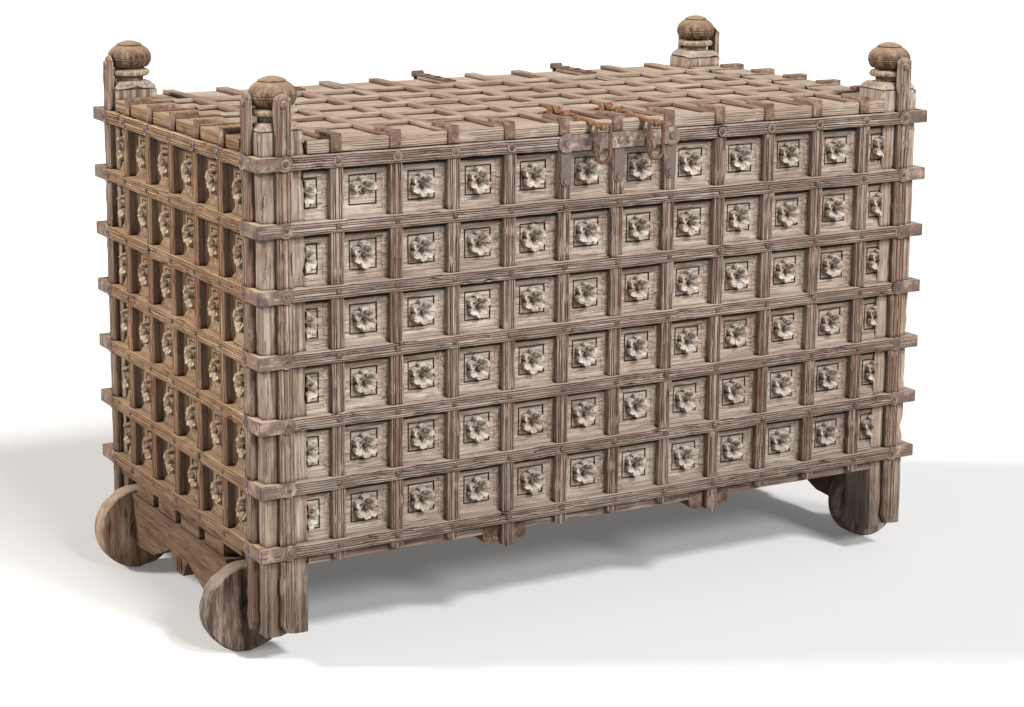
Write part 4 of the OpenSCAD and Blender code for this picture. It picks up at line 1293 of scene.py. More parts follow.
@dataclass
class Posts:
    """Corner posts with tapered necks, their straps and turned finials."""

    width: float = SIZES.post_w
    top_z: float = 1.078
    neck: tuple[tuple[float, float], ...] = ((0.940, 0.0), (0.935, 0.0022), (0.985, 0.0),
                                             (0.94, 0.0065), (0.76, 0.0085))
    neck_top_z: float = 1.093
    strap_foot: float = 0.009
    bud_h: float = 0.070
    strap_top: float = 1.1385
    dome_z: float = 1.1462
    strap_reeds: Reeding = Reeding((-0.0125, -0.0055, 0.0055, 0.0125), 0.0026, 0.0015, 0.0015)
    collar: tuple[tuple[float, float], ...] = (
        (0.0, 0.001), (0.0300, 0.001), (0.0290, 0.0050), (0.0295, 0.0115), (0.0390, 0.0130),
        (0.0430, 0.0155), (0.0440, 0.0195), (0.0432, 0.0225), (0.0400, 0.0262),
        (0.0330, 0.0275), (0.0315, 0.0300), (0.0315, 0.0335), (0.0, 0.0335))
    dome_low: tuple[tuple[float, float], ...] = (
        (0.0, 0.0325), (0.0385, 0.0325), (0.0420, 0.0350), (0.0455, 0.0415), (0.0475, 0.0460),
        (0.0464, 0.0472), (0.0482, 0.0484), (0.0484, 0.0496), (0.0482, 0.0508),
        (0.0464, 0.0520))
    cap: tuple[tuple[float, float], ...] = ((0.0252, 0.0803), (0.0280, 0.0810), (0.0272, 0.0822),
                                            (0.0200, 0.0856), (0.0100, 0.0888), (0.0, 0.0897))
    dome_r: float = 0.0478
    dome_h: float = 0.0268
    cap_r: float = 0.026
    claw_from: float = -14.0
    claw_turn: float = 24.0
    claw_play: float = 0.0003
    claw_t: tuple[float, float] = (0.0096, 0.0042)
    claw_w: tuple[float, ...] = (0.0330, 0.0360, 0.0355, 0.0325, 0.0265, 0.0190, 0.0090)
    claw_chamfer: float = 0.0022
    claw_nail: tuple[float, float] = (0.0090, 0.0058)
    bevel: float = 0.0022
    post_wear: Wear = Wear(0.0012, 0.006, 20.0)
    strap_wear: Wear = Wear(0.0008, 0.0035, 70.0)
    claw_wear: Wear = Wear(0.0009)
    finial_wear: Wear = Wear(0.0010, seed=30.0)

    def middle(self, sign_x: float, sign_y: float) -> Vector:
        """Middle of a post, before the plan shift."""
        half = self.width / 2.0
        return Vector((sign_x * (SIZES.box_x - half), sign_y * (SIZES.box_y - half), 0.0))

    def post(self, corner: str, middle: Vector, number: int) -> None:
        """Builds one post.

        Args:
            corner: Name of the corner.
            middle: Middle of the post, before the plan shift.
            number: Number of the corner, which shifts the wear.
        """
        mesh = bmesh.new()
        half, inner = self.width / 2.0, self.width / 2.0 - self.bevel
        outline = [(-inner, -half), (inner, -half), (half, -inner), (half, inner),
                   (inner, half), (-inner, half), (-half, inner), (-half, -inner)]
        place = PLAN @ Matrix.Translation((middle.x, middle.y, SIZES.leg_z))
        sweep(mesh, outline, self.top_z - SIZES.leg_z, 44, place)
        top = max(mesh.faces, key=lambda face: face.calc_center_median().z)
        shift = Matrix.Translation((middle.x, middle.y + SIZES.plan_shift, 0.0))
        before = 1.0
        for width, rise in self.neck:
            grown = bmesh.ops.extrude_face_region(mesh, geom=[top])["geom"]
            top = next(item for item in grown if isinstance(item, bmesh.types.BMFace))
            share = width / before
            bmesh.ops.transform(mesh, matrix=shift @ Matrix.Diagonal((share, share, 1.0, 1.0))
                                @ shift.inverted(), verts=top.verts[:])
            bmesh.ops.translate(mesh, vec=(0.0, 0.0, rise), verts=top.verts[:])
            before = width
        bmesh.ops.subdivide_edges(mesh, edges=[edge for edge in mesh.edges
                                               if edge.calc_length() > 0.05], cuts=5,
                                  use_grid_fill=True)
        weather(mesh, mesh.verts, self.post_wear, number)
        left = corner.endswith("left")
        finish = wood_in(Grain.ALONG_Z, f"post wood {'left' if left else 'right'}",
                         across=150.0, along=5.0, slot="pale_wood", stain_share=0.6,
                         ground=0.5, ground_z=0.30,
                         # Painted light: the right posts get a paler copy of the post wood, as if
                         # they stood in brighter light.
                         **palette((54, 40, 32), (146, 126, 110) if left else (178, 158, 141),
                                   (214, 198, 182), (118, 84, 66)))
        hand_over(mesh, f"post_{corner}_worn", finish, CHEST, [f"post_{corner}"])

    def strap_bars(self) -> None:
        """Builds the eight post straps with pointed feet and claws over the domes."""
        mesh = bmesh.new()
        outline = self.strap_reeds.section(SIZES.strap_w, SIZES.strap_t)
        low = SIZES.leg_z + self.strap_foot
        for side in Side:
            back = side.place.inverted()
            for sign in BOTH_WAYS:
                along = sign * side.strap_at
                verts = sweep(mesh, outline, self.strap_top - low, 60,
                              upright_place(side, along, low))
                for vert in verts:
                    flat = back @ vert.co
                    rise = flat.y - low
                    if rise < self.bud_h:
                        swell = math.sin(math.pi * min(rise / self.bud_h, 1.0) * 1.5 + 0.5)
                        share = 1.0 + 0.12 * swell if rise > 0.001 else 0.35
                        flat.x = along + (flat.x - along) * share
                        vert.co = side.place @ flat
                weather(mesh, verts, self.strap_wear, along * 9.0 + side.turn)
                self.claw(mesh, side, along)
        finish = wood_in(Grain.ALONG_Z, "strap wood", slot="batten_wood", across=230.0,
                         along=6.0, **STRAP)
        hand_over(mesh, "post_straps_reeded", finish, CHEST, ["post_straps"])

    def claw(self, mesh: bmesh.types.BMesh, side: Side, along: float) -> None:
        """Bends the head of a strap round the foot of the dome and nails it down.

        Args:
            mesh: Where the head goes.
            side: The wall that the strap climbs.
            along: Place of the strap along the wall.
        """
        half_post = self.width / 2.0
        root = [(0.001, self.strap_top - 0.006), (SIZES.strap_t - 0.0005, self.strap_top - 0.006)]
        rings = [[mesh.verts.new((along + edge * self.claw_w[0] / 2.0, height, out))
                  for edge, (out, height) in ((-1.0, root[0]), (1.0, root[0]), (1.0, root[1]),
                                              (0.0, root[1]), (-1.0, root[1]))]]
        last = len(self.claw_w) - 1
        for step, width in enumerate(self.claw_w):
            share = step / last
            turn = math.radians(self.claw_from + self.claw_turn * share)
            thick = self.claw_t[0] + (self.claw_t[1] - self.claw_t[0]) * share
            edge_t = thick - self.claw_chamfer
            rings.append([mesh.verts.new((
                along + edge * width / 2.0,
                self.dome_z + (self.dome_h + lift) * math.sin(turn) / math.sin(self.crown_end),
                (self.dome_r + lift) * math.cos(turn) - half_post))
                for edge, lift in ((-1.0, self.claw_play), (1.0, self.claw_play),
                                   (1.0, edge_t), (0.0, thick), (-1.0, edge_t))])
        verts = skin(mesh, rings)
        bmesh.ops.transform(mesh, matrix=side.place, verts=verts)
        weather(mesh, verts, self.claw_wear, along * 31.0 + side.turn)
        dome_nail(mesh, *self.claw_nail, side.place @ Matrix.Translation(
            (along, self.strap_top - 0.007, SIZES.strap_t - 0.0008)), 12)

    @property
    def crown_end(self) -> float:
        """Angle at which the crown of a dome meets its cap."""
        return math.acos(self.cap_r / self.dome_r)

    def finial(self, corner: str, middle: Vector, number: int) -> None:
        """Turns one finial: a pale collar and a brown dome with its cap.

        Args:
            corner: Name of the corner.
            middle: Middle of the post, before the plan shift.
            number: Number of the corner, which shifts the wear.
        """
        turns = [self.crown_end * step / 7.0 for step in range(8)]
        crown = [(self.dome_r * math.cos(turn), self.dome_z - self.neck_top_z
                  + self.dome_h * math.sin(turn) / math.sin(self.crown_end)) for turn in turns]
        place = PLAN @ Matrix.Translation((middle.x, middle.y, self.neck_top_z))
        pale = wood_in(Grain.ALONG_Z, "collar wood", slot="brown_wood", across=90.0, along=22.0,
                       stain_share=0.4, dirt_reach=0.006, **COLLAR)
        brown = wood_in(Grain.ALONG_Z, "finial wood", slot="brown_wood", across=90.0, along=22.0,
                        stain_share=0.7, **DOME)
        for part, outline, finish in (
                ("collar", list(self.collar), pale),
                ("dome", list(self.dome_low) + crown + list(self.cap), brown)):
            mesh = bmesh.new()
            verts = spin_profile(mesh, outline, 40, place)
            weather(mesh, verts, self.finial_wear, number)
            hand_over(mesh, f"finial_{corner}_{part}", finish, CHEST, [f"finial_{corner}"])

    def build(self) -> None:
        """Builds posts, straps and finials."""
        for number, (corner, sign_x, sign_y) in enumerate(corners()):
            middle = self.middle(sign_x, sign_y)
            self.post(corner, middle, number)
            self.finial(corner, middle, number)
        self.strap_bars()


@dataclass
class CornerIrons:
    """The irons that wrap the bands round the posts."""

    thick: float = 0.003
    lobe_r: float = 0.0160
    rim_share: float = 0.66
    rim_t: tuple[float, float] = (0.0005, 0.0011)
    wear: Wear = Wear(0.0004, seed=5.0)
    finish: IronFinish = IronFinish("corner iron", (86, 72, 64), (126, 103, 91),
                                    (190, 172, 158), "iron", scale=34.0, rust_share=0.4)

    def leg(self, mesh: bmesh.types.BMesh, side: Side, sign: float, row: int,
            end: float) -> None:
        """Adds one leg of an iron with its rounded end and raised rim.

        Args:
            mesh: Where the leg goes.
            side: The wall that it lies on.
            sign: Which end of the wall.
            row: Number of the band.
            end: How far the leg runs out along the wall.
        """
        start = sign * side.strap_at
        low_x, high_x = sorted((start, sign * end))
        height, half = SIZES.band_z(row), SIZES.band_h / 2.0
        face = SIZES.band_t
        block(mesh, (low_x, height - half, face - self.thick), (high_x, height + half, face),
              side.place, round_off=0.0008)
        place = side.place @ Matrix.Translation((start, height, 0.0))
        disc(mesh, self.lobe_r, face - self.thick, face, place, 28)
        disc(mesh, self.lobe_r * self.rim_share, face - self.rim_t[0], face + self.rim_t[1],
             place, 20)

    def build(self) -> None:
        """Builds the 28 corner irons."""
        mesh = bmesh.new()
        for side in Side:
            out = SIZES.box_x if side.is_long else SIZES.box_y
            for sign in BOTH_WAYS:
                for row in range(SIZES.rows + 1):
                    self.leg(mesh, side, sign, row, out + SIZES.band_t)
        weather(mesh, mesh.verts, self.wear)
        hand_over(mesh, "corner_irons_forged", self.finish, CHEST, ["corner_irons"])


@dataclass
class Underframe:
    """What carries the box: bearers, sills, shaped axle beams."""

    beam_x: float = 0.800
    beam_t: float = 0.044
    lip_t: float = 0.003
    beam_y: float = 0.2654
    top_z: float = 0.181
    end_z: float = 0.061
    lobe: tuple[float, float] = (0.138, 0.071)
    arch: tuple[float, float] = (0.050, 0.114)
    pendant: tuple[float, float] = (0.022, 0.073)
    lip_h: float = 0.009
    flutes: tuple[float, ...] = (-0.011, 0.0, 0.011)
    flute_half: float = 0.0032
    flute_t: float = 0.0022
    sill_h: float = 0.022
    sill_t: float = 0.020
    sill_cuts: tuple[float, ...] = (-SIZES.post_in_x, -0.3125, -0.2075, 0.2075, 0.3125,
                                    SIZES.post_in_x)
    end_sill_x: tuple[float, float] = (0.778, 0.8186)
    beam_wear: Wear = Wear(0.0009, 0.003, 50.0)
    bearer_wear: Wear = Wear(0.0008, 0.004, 130.0)
    sill_wear: Wear = Wear(0.0005, 0.002, 120.0)
    shoulder_r: float = 0.022
    shoulder_end: float = 0.2809
    stub_r: float = 0.014
    stub_end: float = 0.3381
    wheel_z: float = 0.092
    slot_w: float = 0.030
    slot_h: float = 0.029
    sill_y: float = 0.3384
    bearer_x: float = 0.260
    bearer_w: float = 0.105
    bearer_z: tuple[float, float] = (0.1825, 0.2245)
    bearer_cut: float = 0.012
    beam_wood: WoodFinish = WoodFinish("beam wood", (70, 50, 36), (120, 92, 70), (160, 130, 103),
                                       (106, 78, 58), Grain.ALONG_Y, "tan_wood", across=60.0,
                                       along=8.0, stain_share=0.3)

    def beam(self, name: str, sign: float) -> None:
        """Builds one axle beam.

        Args:
            name: Name of its node.
            sign: -1 at the left end, 1 at the right.
        """
        mesh = bmesh.new()
        half: Points = [(self.beam_y, self.top_z), (self.beam_y, self.end_z),
                        (self.lobe[0] + 0.012, self.lobe[1] - 0.001),
                        (self.lobe[0], self.lobe[1] + 0.003),
                        (self.arch[0] + 0.010, self.arch[1] - 0.006), self.arch,
                        (self.arch[0] - 0.006, self.arch[1] - 0.009), self.pendant]
        outline = half + [(-y, z) for y, z in reversed(half)]
        length = self.beam_t - self.lip_t
        inner = self.beam_x - self.beam_t / 2.0
        flip = PLAN @ Matrix.Diagonal((sign, 1.0, 1.0, 1.0))
        sweep(mesh, outline, length, 1, flip @ Matrix.Translation((inner, 0.0, 0.0)) @ Z_TO_X)
        outer = inner + length
        lip = self.lip_h
        for low, high, out in ((self.top_z - lip * 0.45, self.top_z, self.lip_t),
                               (self.top_z - lip, self.top_z - lip * 0.55, self.lip_t * 0.7)):
            block(mesh, (outer - 0.004, -self.beam_y, low), (outer + out, self.beam_y, high),
                  flip, round_off=0.0008)
        for offset in self.flutes:
            block(mesh, (outer - 0.003, offset - self.flute_half, self.pendant[1] + 0.004),
                  (outer + self.flute_t, offset + self.flute_half, self.arch[1] - 0.004),
                  flip, round_off=0.001)
        for way in BOTH_WAYS:
            for radius, low, high in ((self.shoulder_r, self.beam_y - 0.002, self.shoulder_end),
                                      (self.stub_r, self.shoulder_end - 0.002, self.stub_end)):
                start, end = (Vector((sign * self.beam_x, way * at + SIZES.plan_shift,
                                      self.wheel_z)) for at in (low, high))
                tube(mesh, radius, start, end, 24)
        edges = [edge for edge in mesh.edges if edge.calc_length() > 0.03
                 and len(edge.link_faces) == 2]
        bmesh.ops.subdivide_edges(mesh, edges=edges, cuts=4)
        weather(mesh, mesh.verts, self.beam_wear, sign)
        hand_over(mesh, f"{name}_shaped", self.beam_wood, CHEST, [name])

    def bearers(self) -> None:
        """Builds the two cross bearers with their lower edges worn round."""
        mesh = bmesh.new()
        low, high = self.bearer_z
        half, cut = self.bearer_w / 2.0, self.bearer_cut
        outline = [(-half, high), (-half, low + cut), (-half + cut * 0.3, low + cut * 0.3),
                   (-half + cut, low), (half - cut, low), (half - cut * 0.3, low + cut * 0.3),
                   (half, low + cut), (half, high)]
        for sign in BOTH_WAYS:
            place = PLAN @ Matrix.Translation((sign * self.bearer_x, -SIZES.box_y + 0.0005,
                                               0.0)) @ SWAP_Y_Z
            verts = sweep(mesh, outline, 2.0 * SIZES.box_y - 0.001, 24, place)
            weather(mesh, verts, self.bearer_wear, sign)
        bearer = wood_in(Grain.ALONG_Y, "bearer wood", slot="dark_wood", across=70.0, along=6.0,
                         **BEARER)
        hand_over(mesh, "cross_bearers_worn", bearer, CHEST, ["cross_bearers"])

    def long_sills(self) -> None:
        """Builds the plain sills along the chest, parted by the cross bearers."""
        mesh = bmesh.new()
        for sign in BOTH_WAYS:
            low_y, high_y = sorted((sign * (SIZES.box_y - self.sill_t), sign * SIZES.box_y))
            for start, end in zip(self.sill_cuts[::2], self.sill_cuts[1::2]):
                block(mesh, (start, low_y, SIZES.base_z - self.sill_h),
                      (end, high_y, SIZES.base_z), PLAN, round_off=0.0012, grid=0.06)
        weather(mesh, mesh.verts, self.sill_wear)
        hand_over(mesh, "sill_rails_long", wood_in(Grain.ALONG_X, "sill wood", slot="brown_wood",
                                                   **BAND), CHEST, ["sill_rails"])

    def end_sills(self) -> None:
        """Builds the sills across the ends, slotted below each upright."""
        mesh = bmesh.new()
        half = self.slot_w / 2.0
        edges = [line * SIZES.pitch + shift for line in Side.LEFT.numbers
                 for shift in (-half, half)]
        slot_z = self.top_z + self.slot_h
        for sign in BOTH_WAYS:
            low_x, high_x = sorted(sign * x for x in self.end_sill_x)
            block(mesh, (low_x, -self.sill_y, slot_z), (high_x, self.sill_y, SIZES.base_z), PLAN,
                  round_off=0.0012, grid=0.05)
            for start, end in zip(edges[1::2], edges[2::2]):
                block(mesh, (low_x, start, self.top_z), (high_x, end, slot_z + 0.0005), PLAN,
                      round_off=0.0012, grid=0.05)
        weather(mesh, mesh.verts, self.sill_wear, 1.0)
        hand_over(mesh, "sill_rails_slotted", self.beam_wood, CHEST, ["sill_rails"])

    def build(self) -> None:
        """Builds the beams, bearers and sills, and dresses the floor and the wall boards."""
        self.beam("left_axle_beam", -1.0)
        self.beam("right_axle_beam", 1.0)
        self.bearers()
        self.long_sills()
        self.end_sills()
        dress("floor_boards", wood_in(Grain.ALONG_X, "floor wood", slot="brown_wood", **BAND))
        for side in Side:
            dress(f"{side.title}_boards", wood_in(side.grain, f"board wood {side.title}",
                                                  slot="pale_wood", **PANEL))


@dataclass
class Wheels:
    """Four solid wooden wheels, worn on the tread."""

    radius: float = 0.092
    thick: float = 0.049
    out_y: float = 0.3304
    axle_x: float = 0.800
    bore: float = 0.01408
    rim: float = 0.007
    bite_from: float = 0.12
    bite_share: float = 0.008
    deepest: float = 0.0028
    rubbed: float = 0.0004
    front_wood: WoodFinish = WoodFinish("front wheel wood", (40, 29, 25), (122, 102, 90),
                                        (206, 190, 176), (116, 74, 58), Grain.ALONG_Z,
                                        "dark_wood", across=55.0, along=9.0, depth=0.0022)
    # Painted light: the back wheels get a paler copy of the wheel wood, lifting them out of the
    # shade they stand in, and less darkening towards the bottom.
    back_wood: WoodFinish = WoodFinish("back wheel wood", (76, 57, 45), (162, 133, 110),
                                       (216, 192, 168), (134, 92, 68), Grain.ALONG_Z,
                                       "dark_wood", across=55.0, along=9.0, depth=0.0022,
                                       ground=0.05)

    def build(self) -> None:
        """Builds the wheels, each on its own body."""
        for number, (corner, sign_x, sign_y) in enumerate(corners()):
            self.wheel(corner, sign_x, sign_y, 60.0 + number)

    def wheel(self, corner: str, sign_x: float, sign_y: float, seed: float) -> None:
        """Builds one wheel.

        Args:
            corner: Name of the corner.
            sign_x: Side along the chest.
            sign_y: Side across the chest.
            seed: Shifts the wear.
        """
        outline: Points = [(self.bore, 0.0), (0.030, 0.0), (0.055, 0.0006),
                           (self.radius - self.rim, 0.0012)]
        outline += [self.rim_point(turn, self.rim) for turn in (-60.0, -30.0, 0.0)]
        outline += [(self.radius, self.thick * 0.35), (self.radius, self.thick * 0.65)]
        outline += [self.rim_point(turn, self.thick - self.rim) for turn in (0.0, 30.0, 60.0)]
        outline += [(self.radius - self.rim, self.thick - 0.0012), (0.055, self.thick - 0.0006),
                    (0.030, self.thick), (self.bore, self.thick), (self.bore, 0.0)]
        mesh = bmesh.new()
        middle = sign_y * (self.out_y - self.thick / 2.0)
        place = PLAN @ Matrix.Translation((sign_x * self.axle_x, middle + self.thick / 2.0,
                                           self.radius)) @ turned(90.0, "X")
        verts = spin_profile(mesh, outline, 64, place)
        centre = Vector((sign_x * self.axle_x, middle + SIZES.plan_shift, self.radius))
        for vert in verts:
            arm = Vector((vert.co.x - centre.x, 0.0, vert.co.z - centre.z))
            if arm.length > 0.04:
                bite = noise.noise(vert.co * 30.0 + Vector((seed, 0.0, seed))) - self.bite_from
                edge = abs(vert.co.y - centre.y) > self.thick * 0.30
                if bite > 0.0 and edge:
                    vert.co -= arm.normalized() * min(bite * self.bite_share, self.deepest)
                vert.co -= arm.normalized() * self.rubbed * (
                    1.0 + noise.noise(vert.co * 90.0 + Vector((0.0, seed, 0.0))))
        hand_over(mesh, f"wheel_{corner}_worn", self.front_wood if sign_y < 0.0
                  else self.back_wood, f"{corner}_wheel", [f"wheel_{corner}"])

    def rim_point(self, turn: float, at: float) -> tuple[float, float]:
        """A point of the rounded rim.

        Args:
            turn: Angle round the rim's corner, in degrees.
            at: Place of the corner's middle across the wheel.

        Returns:
            Radius and place across the wheel.
        """
        angle = math.radians(turn)
        return (self.radius - self.rim + self.rim * math.cos(angle),
                at + self.rim * math.sin(angle))


@dataclass
class Lid:
    """The boarded lid with its battens and irons, and the fixed rails beside it."""

    planks: int = 6
    gap: float = 0.0016
    facing: tuple[float, float] = (0.0235, 0.0016)
    facing_reeds: Reeding = Reeding((-0.0084, -0.0036, 0.0012, 0.0064), 0.0018, 0.0011, 0.0004)
    batten_w: float = 0.027
    iron_w: float = 0.024
    iron_t: float = 0.005
    top_t: float = 0.0075
    lip: tuple[float, float] = (0.014, 0.0055)
    link_in: float = 0.0535
    link_out: float = 0.0765
    iron_len: float = 0.068
    end_iron_len: float = 0.052
    low_z: float = 1.0335
    rail_over: float = 0.005
    nail_r: float = 0.0062
    nail_play: float = 0.001
    board_wear: Wear = Wear(0.0007, 0.002, 80.0)
    facing_wear: Wear = Wear(0.0004, 0.002, 78.0)
    long_wear: Wear = Wear(0.0007, 0.003, 90.0)
    cross_wear: Wear = Wear(0.0006, 0.003, 100.0)
    iron_wear: Wear = Wear(0.0005, seed=8.0)
    rail_wear: Wear = Wear(0.0008, 0.003, 110.0)
    fixed_dirt: Colour = (76, 59, 47)
    iron: IronFinish = IronFinish("edge iron", (80, 64, 55), (130, 100, 85), (182, 162, 147),
                                  "iron", scale=42.0, rust_share=0.5)

    def boards(self) -> None:
        """Builds the lid boards."""
        mesh = bmesh.new()
        width = 2.0 * SIZES.lid_y / self.planks
        for plank in range(self.planks):
            low_y = plank * width - SIZES.lid_y
            high_y = low_y + width - (self.gap if plank < self.planks - 1 else 0.0)
            verts = block(mesh, (-SIZES.lid_x, low_y, SIZES.lid_z),
                          (SIZES.lid_x, high_y, SIZES.lid_top_z), PLAN, grid=0.05)
            weather(mesh, verts, self.board_wear, plank)
        edges = (-SIZES.lid_x, -self.link_out, -self.link_in, self.link_in, self.link_out,
                 SIZES.lid_x)
        outline = self.facing_reeds.section(*self.facing)
        height = SIZES.lid_top_z + self.lip[1] - 0.0015 - self.facing[0] / 2.0
        forward = Matrix.Translation((0.0, SIZES.lid_y - SIZES.box_y - 0.0004, 0.0))
        for start, end in zip(edges[::2], edges[1::2]):
            verts = block(mesh, (start, -SIZES.lid_y, SIZES.lid_top_z - 0.002),
                          (end, self.lip[0] - SIZES.lid_y, SIZES.lid_top_z + self.lip[1]),
                          PLAN, grid=0.05)
            weather(mesh, verts, self.board_wear, -1.0)
            verts = sweep(mesh, outline, end - start, 40,
                          level_place(Side.FRONT, start, height) @ forward)
            weather(mesh, verts, self.facing_wear)
        # Painted light: faces that look to the front get a pale tint.
        finish = wood_in(Grain.ALONG_X, "lid wood", slot="pale_wood", across=260.0, along=4.5,
                         stain_share=0.8, dirt=(76, 58, 46), dust=0.15, flank=(220, 203, 184),
                         flank_share=0.3, **LID_BOARD)
        hand_over(mesh, "lid_boards_worn", finish, LID, ["lid_boards"])

    def batten(self, mesh: bmesh.types.BMesh, low: Sequence[float], high: Sequence[float],
               wear: Wear, line: int) -> None:
        """Adds one worn batten.

        Args:
            mesh: Where it goes.
            low: Its lowest corner.
            high: Its highest corner.
            wear: How much it is worn.
            line: Number of its lattice line, which shifts the wear.
        """
        verts = block(mesh, low, high, PLAN, round_off=0.0016, grid=0.04)
        weather(mesh, verts, wear, line)

    def battens(self) -> None:
        """Builds the long battens and the cross battens."""
        half = self.batten_w / 2.0
        foot, top = SIZES.lid_top_z, SIZES.batten_top_z
        mesh = bmesh.new()
        for line in Side.LEFT.numbers:
            y = line * SIZES.pitch
            self.batten(mesh, (-SIZES.lid_x, y - half, foot), (SIZES.lid_x, y + half, top - SUNK),
                        self.long_wear, line)
        shared = dict(slot="batten_wood", stain_share=0.8, dirt=self.fixed_dirt, across=240.0,
                      dust=0.15)
        hand_over(mesh, "lid_long_battens_worn",
                  wood_in(Grain.ALONG_X, "long batten wood", **shared, **LONG_BATTEN), LID,
                  ["lid_long_battens"])
        mesh = bmesh.new()
        for line in Side.FRONT.numbers:
            x = line * SIZES.pitch
            self.batten(mesh, (x - half, -SIZES.lid_y, foot), (x + half, SIZES.lid_y, top),
                        self.cross_wear, line)
        hand_over(mesh, "lid_cross_battens_worn",
                  wood_in(Grain.ALONG_Y, "cross batten wood", **shared, **CROSS_BATTEN), LID,
                  ["lid_cross_battens"])

    def edge_iron(self, mesh: bmesh.types.BMesh, place: Matrix, length: float,
                  chance: random.Random) -> None:
        """Adds an iron over an edge. Its X points outwards from the edge.

        Args:
            mesh: Where it goes.
            place: Where it sits.
            length: Length of the leg on top.
            chance: Source of small differences.
        """
        half = self.iron_w / 2.0
        top = SIZES.batten_top_z + self.top_t
        for low in ((-length, -half, SIZES.batten_top_z - 0.001), (0.0, -half, self.low_z)):
            block(mesh, low, (self.iron_t, half, top), place, round_off=0.0012)
        dome_nail(mesh, self.nail_r, 0.0028, place @ Matrix.Translation((
            self.iron_t - 0.0004, chance.uniform(-self.nail_play, self.nail_play),
            self.low_z + 0.007)) @ turned(90.0, "Y"))
        for share in (0.3, 0.82):
            dome_nail(mesh, self.nail_r, 0.0018, place @ Matrix.Translation((
                -length * share, chance.uniform(-self.nail_play, self.nail_play),
                top - 0.0004)))

    def irons(self) -> None:
        """Builds the irons of the lid's front edge and of the end rails."""
        chance = random.Random(7)
        lid_mesh, end_mesh = bmesh.new(), bmesh.new()
        for line in Side.FRONT.numbers:
            place = (PLAN @ Matrix.Translation((line * SIZES.pitch, -SIZES.lid_y, 0.0))
                     @ turned(-90.0, "Z"))
            self.edge_iron(lid_mesh, place, self.iron_len, chance)
        for sign, turn in ((-1.0, 180.0), (1.0, 0.0)):
            for line in Side.LEFT.numbers:
                place = (PLAN @ Matrix.Translation((sign * (SIZES.box_x + self.rail_over),
                                                    line * SIZES.pitch, 0.0))
                         @ turned(turn, "Z"))
                self.edge_iron(end_mesh, place, self.end_iron_len, chance)
        for mesh, name, body in ((lid_mesh, "lid_edge_irons", LID),
                                 (end_mesh, "end_edge_irons", CHEST)):
            weather(mesh, mesh.verts, self.iron_wear)
            hand_over(mesh, f"{name}_forged", self.iron, body, [name])

    def rails(self) -> None:
        """Builds the fixed rails on the end walls with their short battens."""
        half = self.batten_w / 2.0
        # The left rail takes the warm palette: painted warm light.
        for title, sign, colours in (("left", -1.0, WARM_RAIL), ("right", 1.0, RAIL)):
            mesh = bmesh.new()
            low_x, high_x = sorted((sign * SIZES.post_in_x,
                                    sign * (SIZES.box_x + self.rail_over)))
            block(mesh, (low_x, -SIZES.post_in_y, SIZES.rim_z),
                  (high_x, SIZES.post_in_y, SIZES.lid_top_z + self.lip[1] * 0.8), PLAN,
                  round_off=0.0016, grid=0.04)
            for line in Side.LEFT.numbers:
                y = line * SIZES.pitch
                block(mesh, (low_x, y - half, SIZES.lid_top_z - 0.001),
                      (high_x, y + half, SIZES.batten_top_z), PLAN, round_off=0.0016, grid=0.03)
            weather(mesh, mesh.verts, self.rail_wear, sign)
            finish = wood_in(Grain.ALONG_Y, f"rail wood {title}", slot="tan_wood", dust=0.25,
                             **colours)
            hand_over(mesh, f"{title}_top_rail_worn", finish, CHEST, [f"{title}_top_rail"])

    def build(self) -> None:
        """Builds everything on top of the chest."""
        self.boards()
        self.battens()
        self.irons()
        self.rails()


@dataclass
class Hinges:
    """The three strap hinges at the back keep their CAD shape."""

    iron: IronFinish = IronFinish("hinge iron", (80, 66, 58), (108, 80, 66), (136, 116, 104),
                                  "iron", scale=48.0)
    pin: IronFinish = IronFinish("pin iron", (60, 56, 56), (92, 74, 64), (112, 104, 100),
                                 "dark_iron", scale=90.0)

    def build(self) -> None:
        """Dresses the hinges."""
        dress("back_hinge_plates", self.iron)
        dress("lid_hinge_straps", self.iron)
        dress("hinge_pins", self.pin)


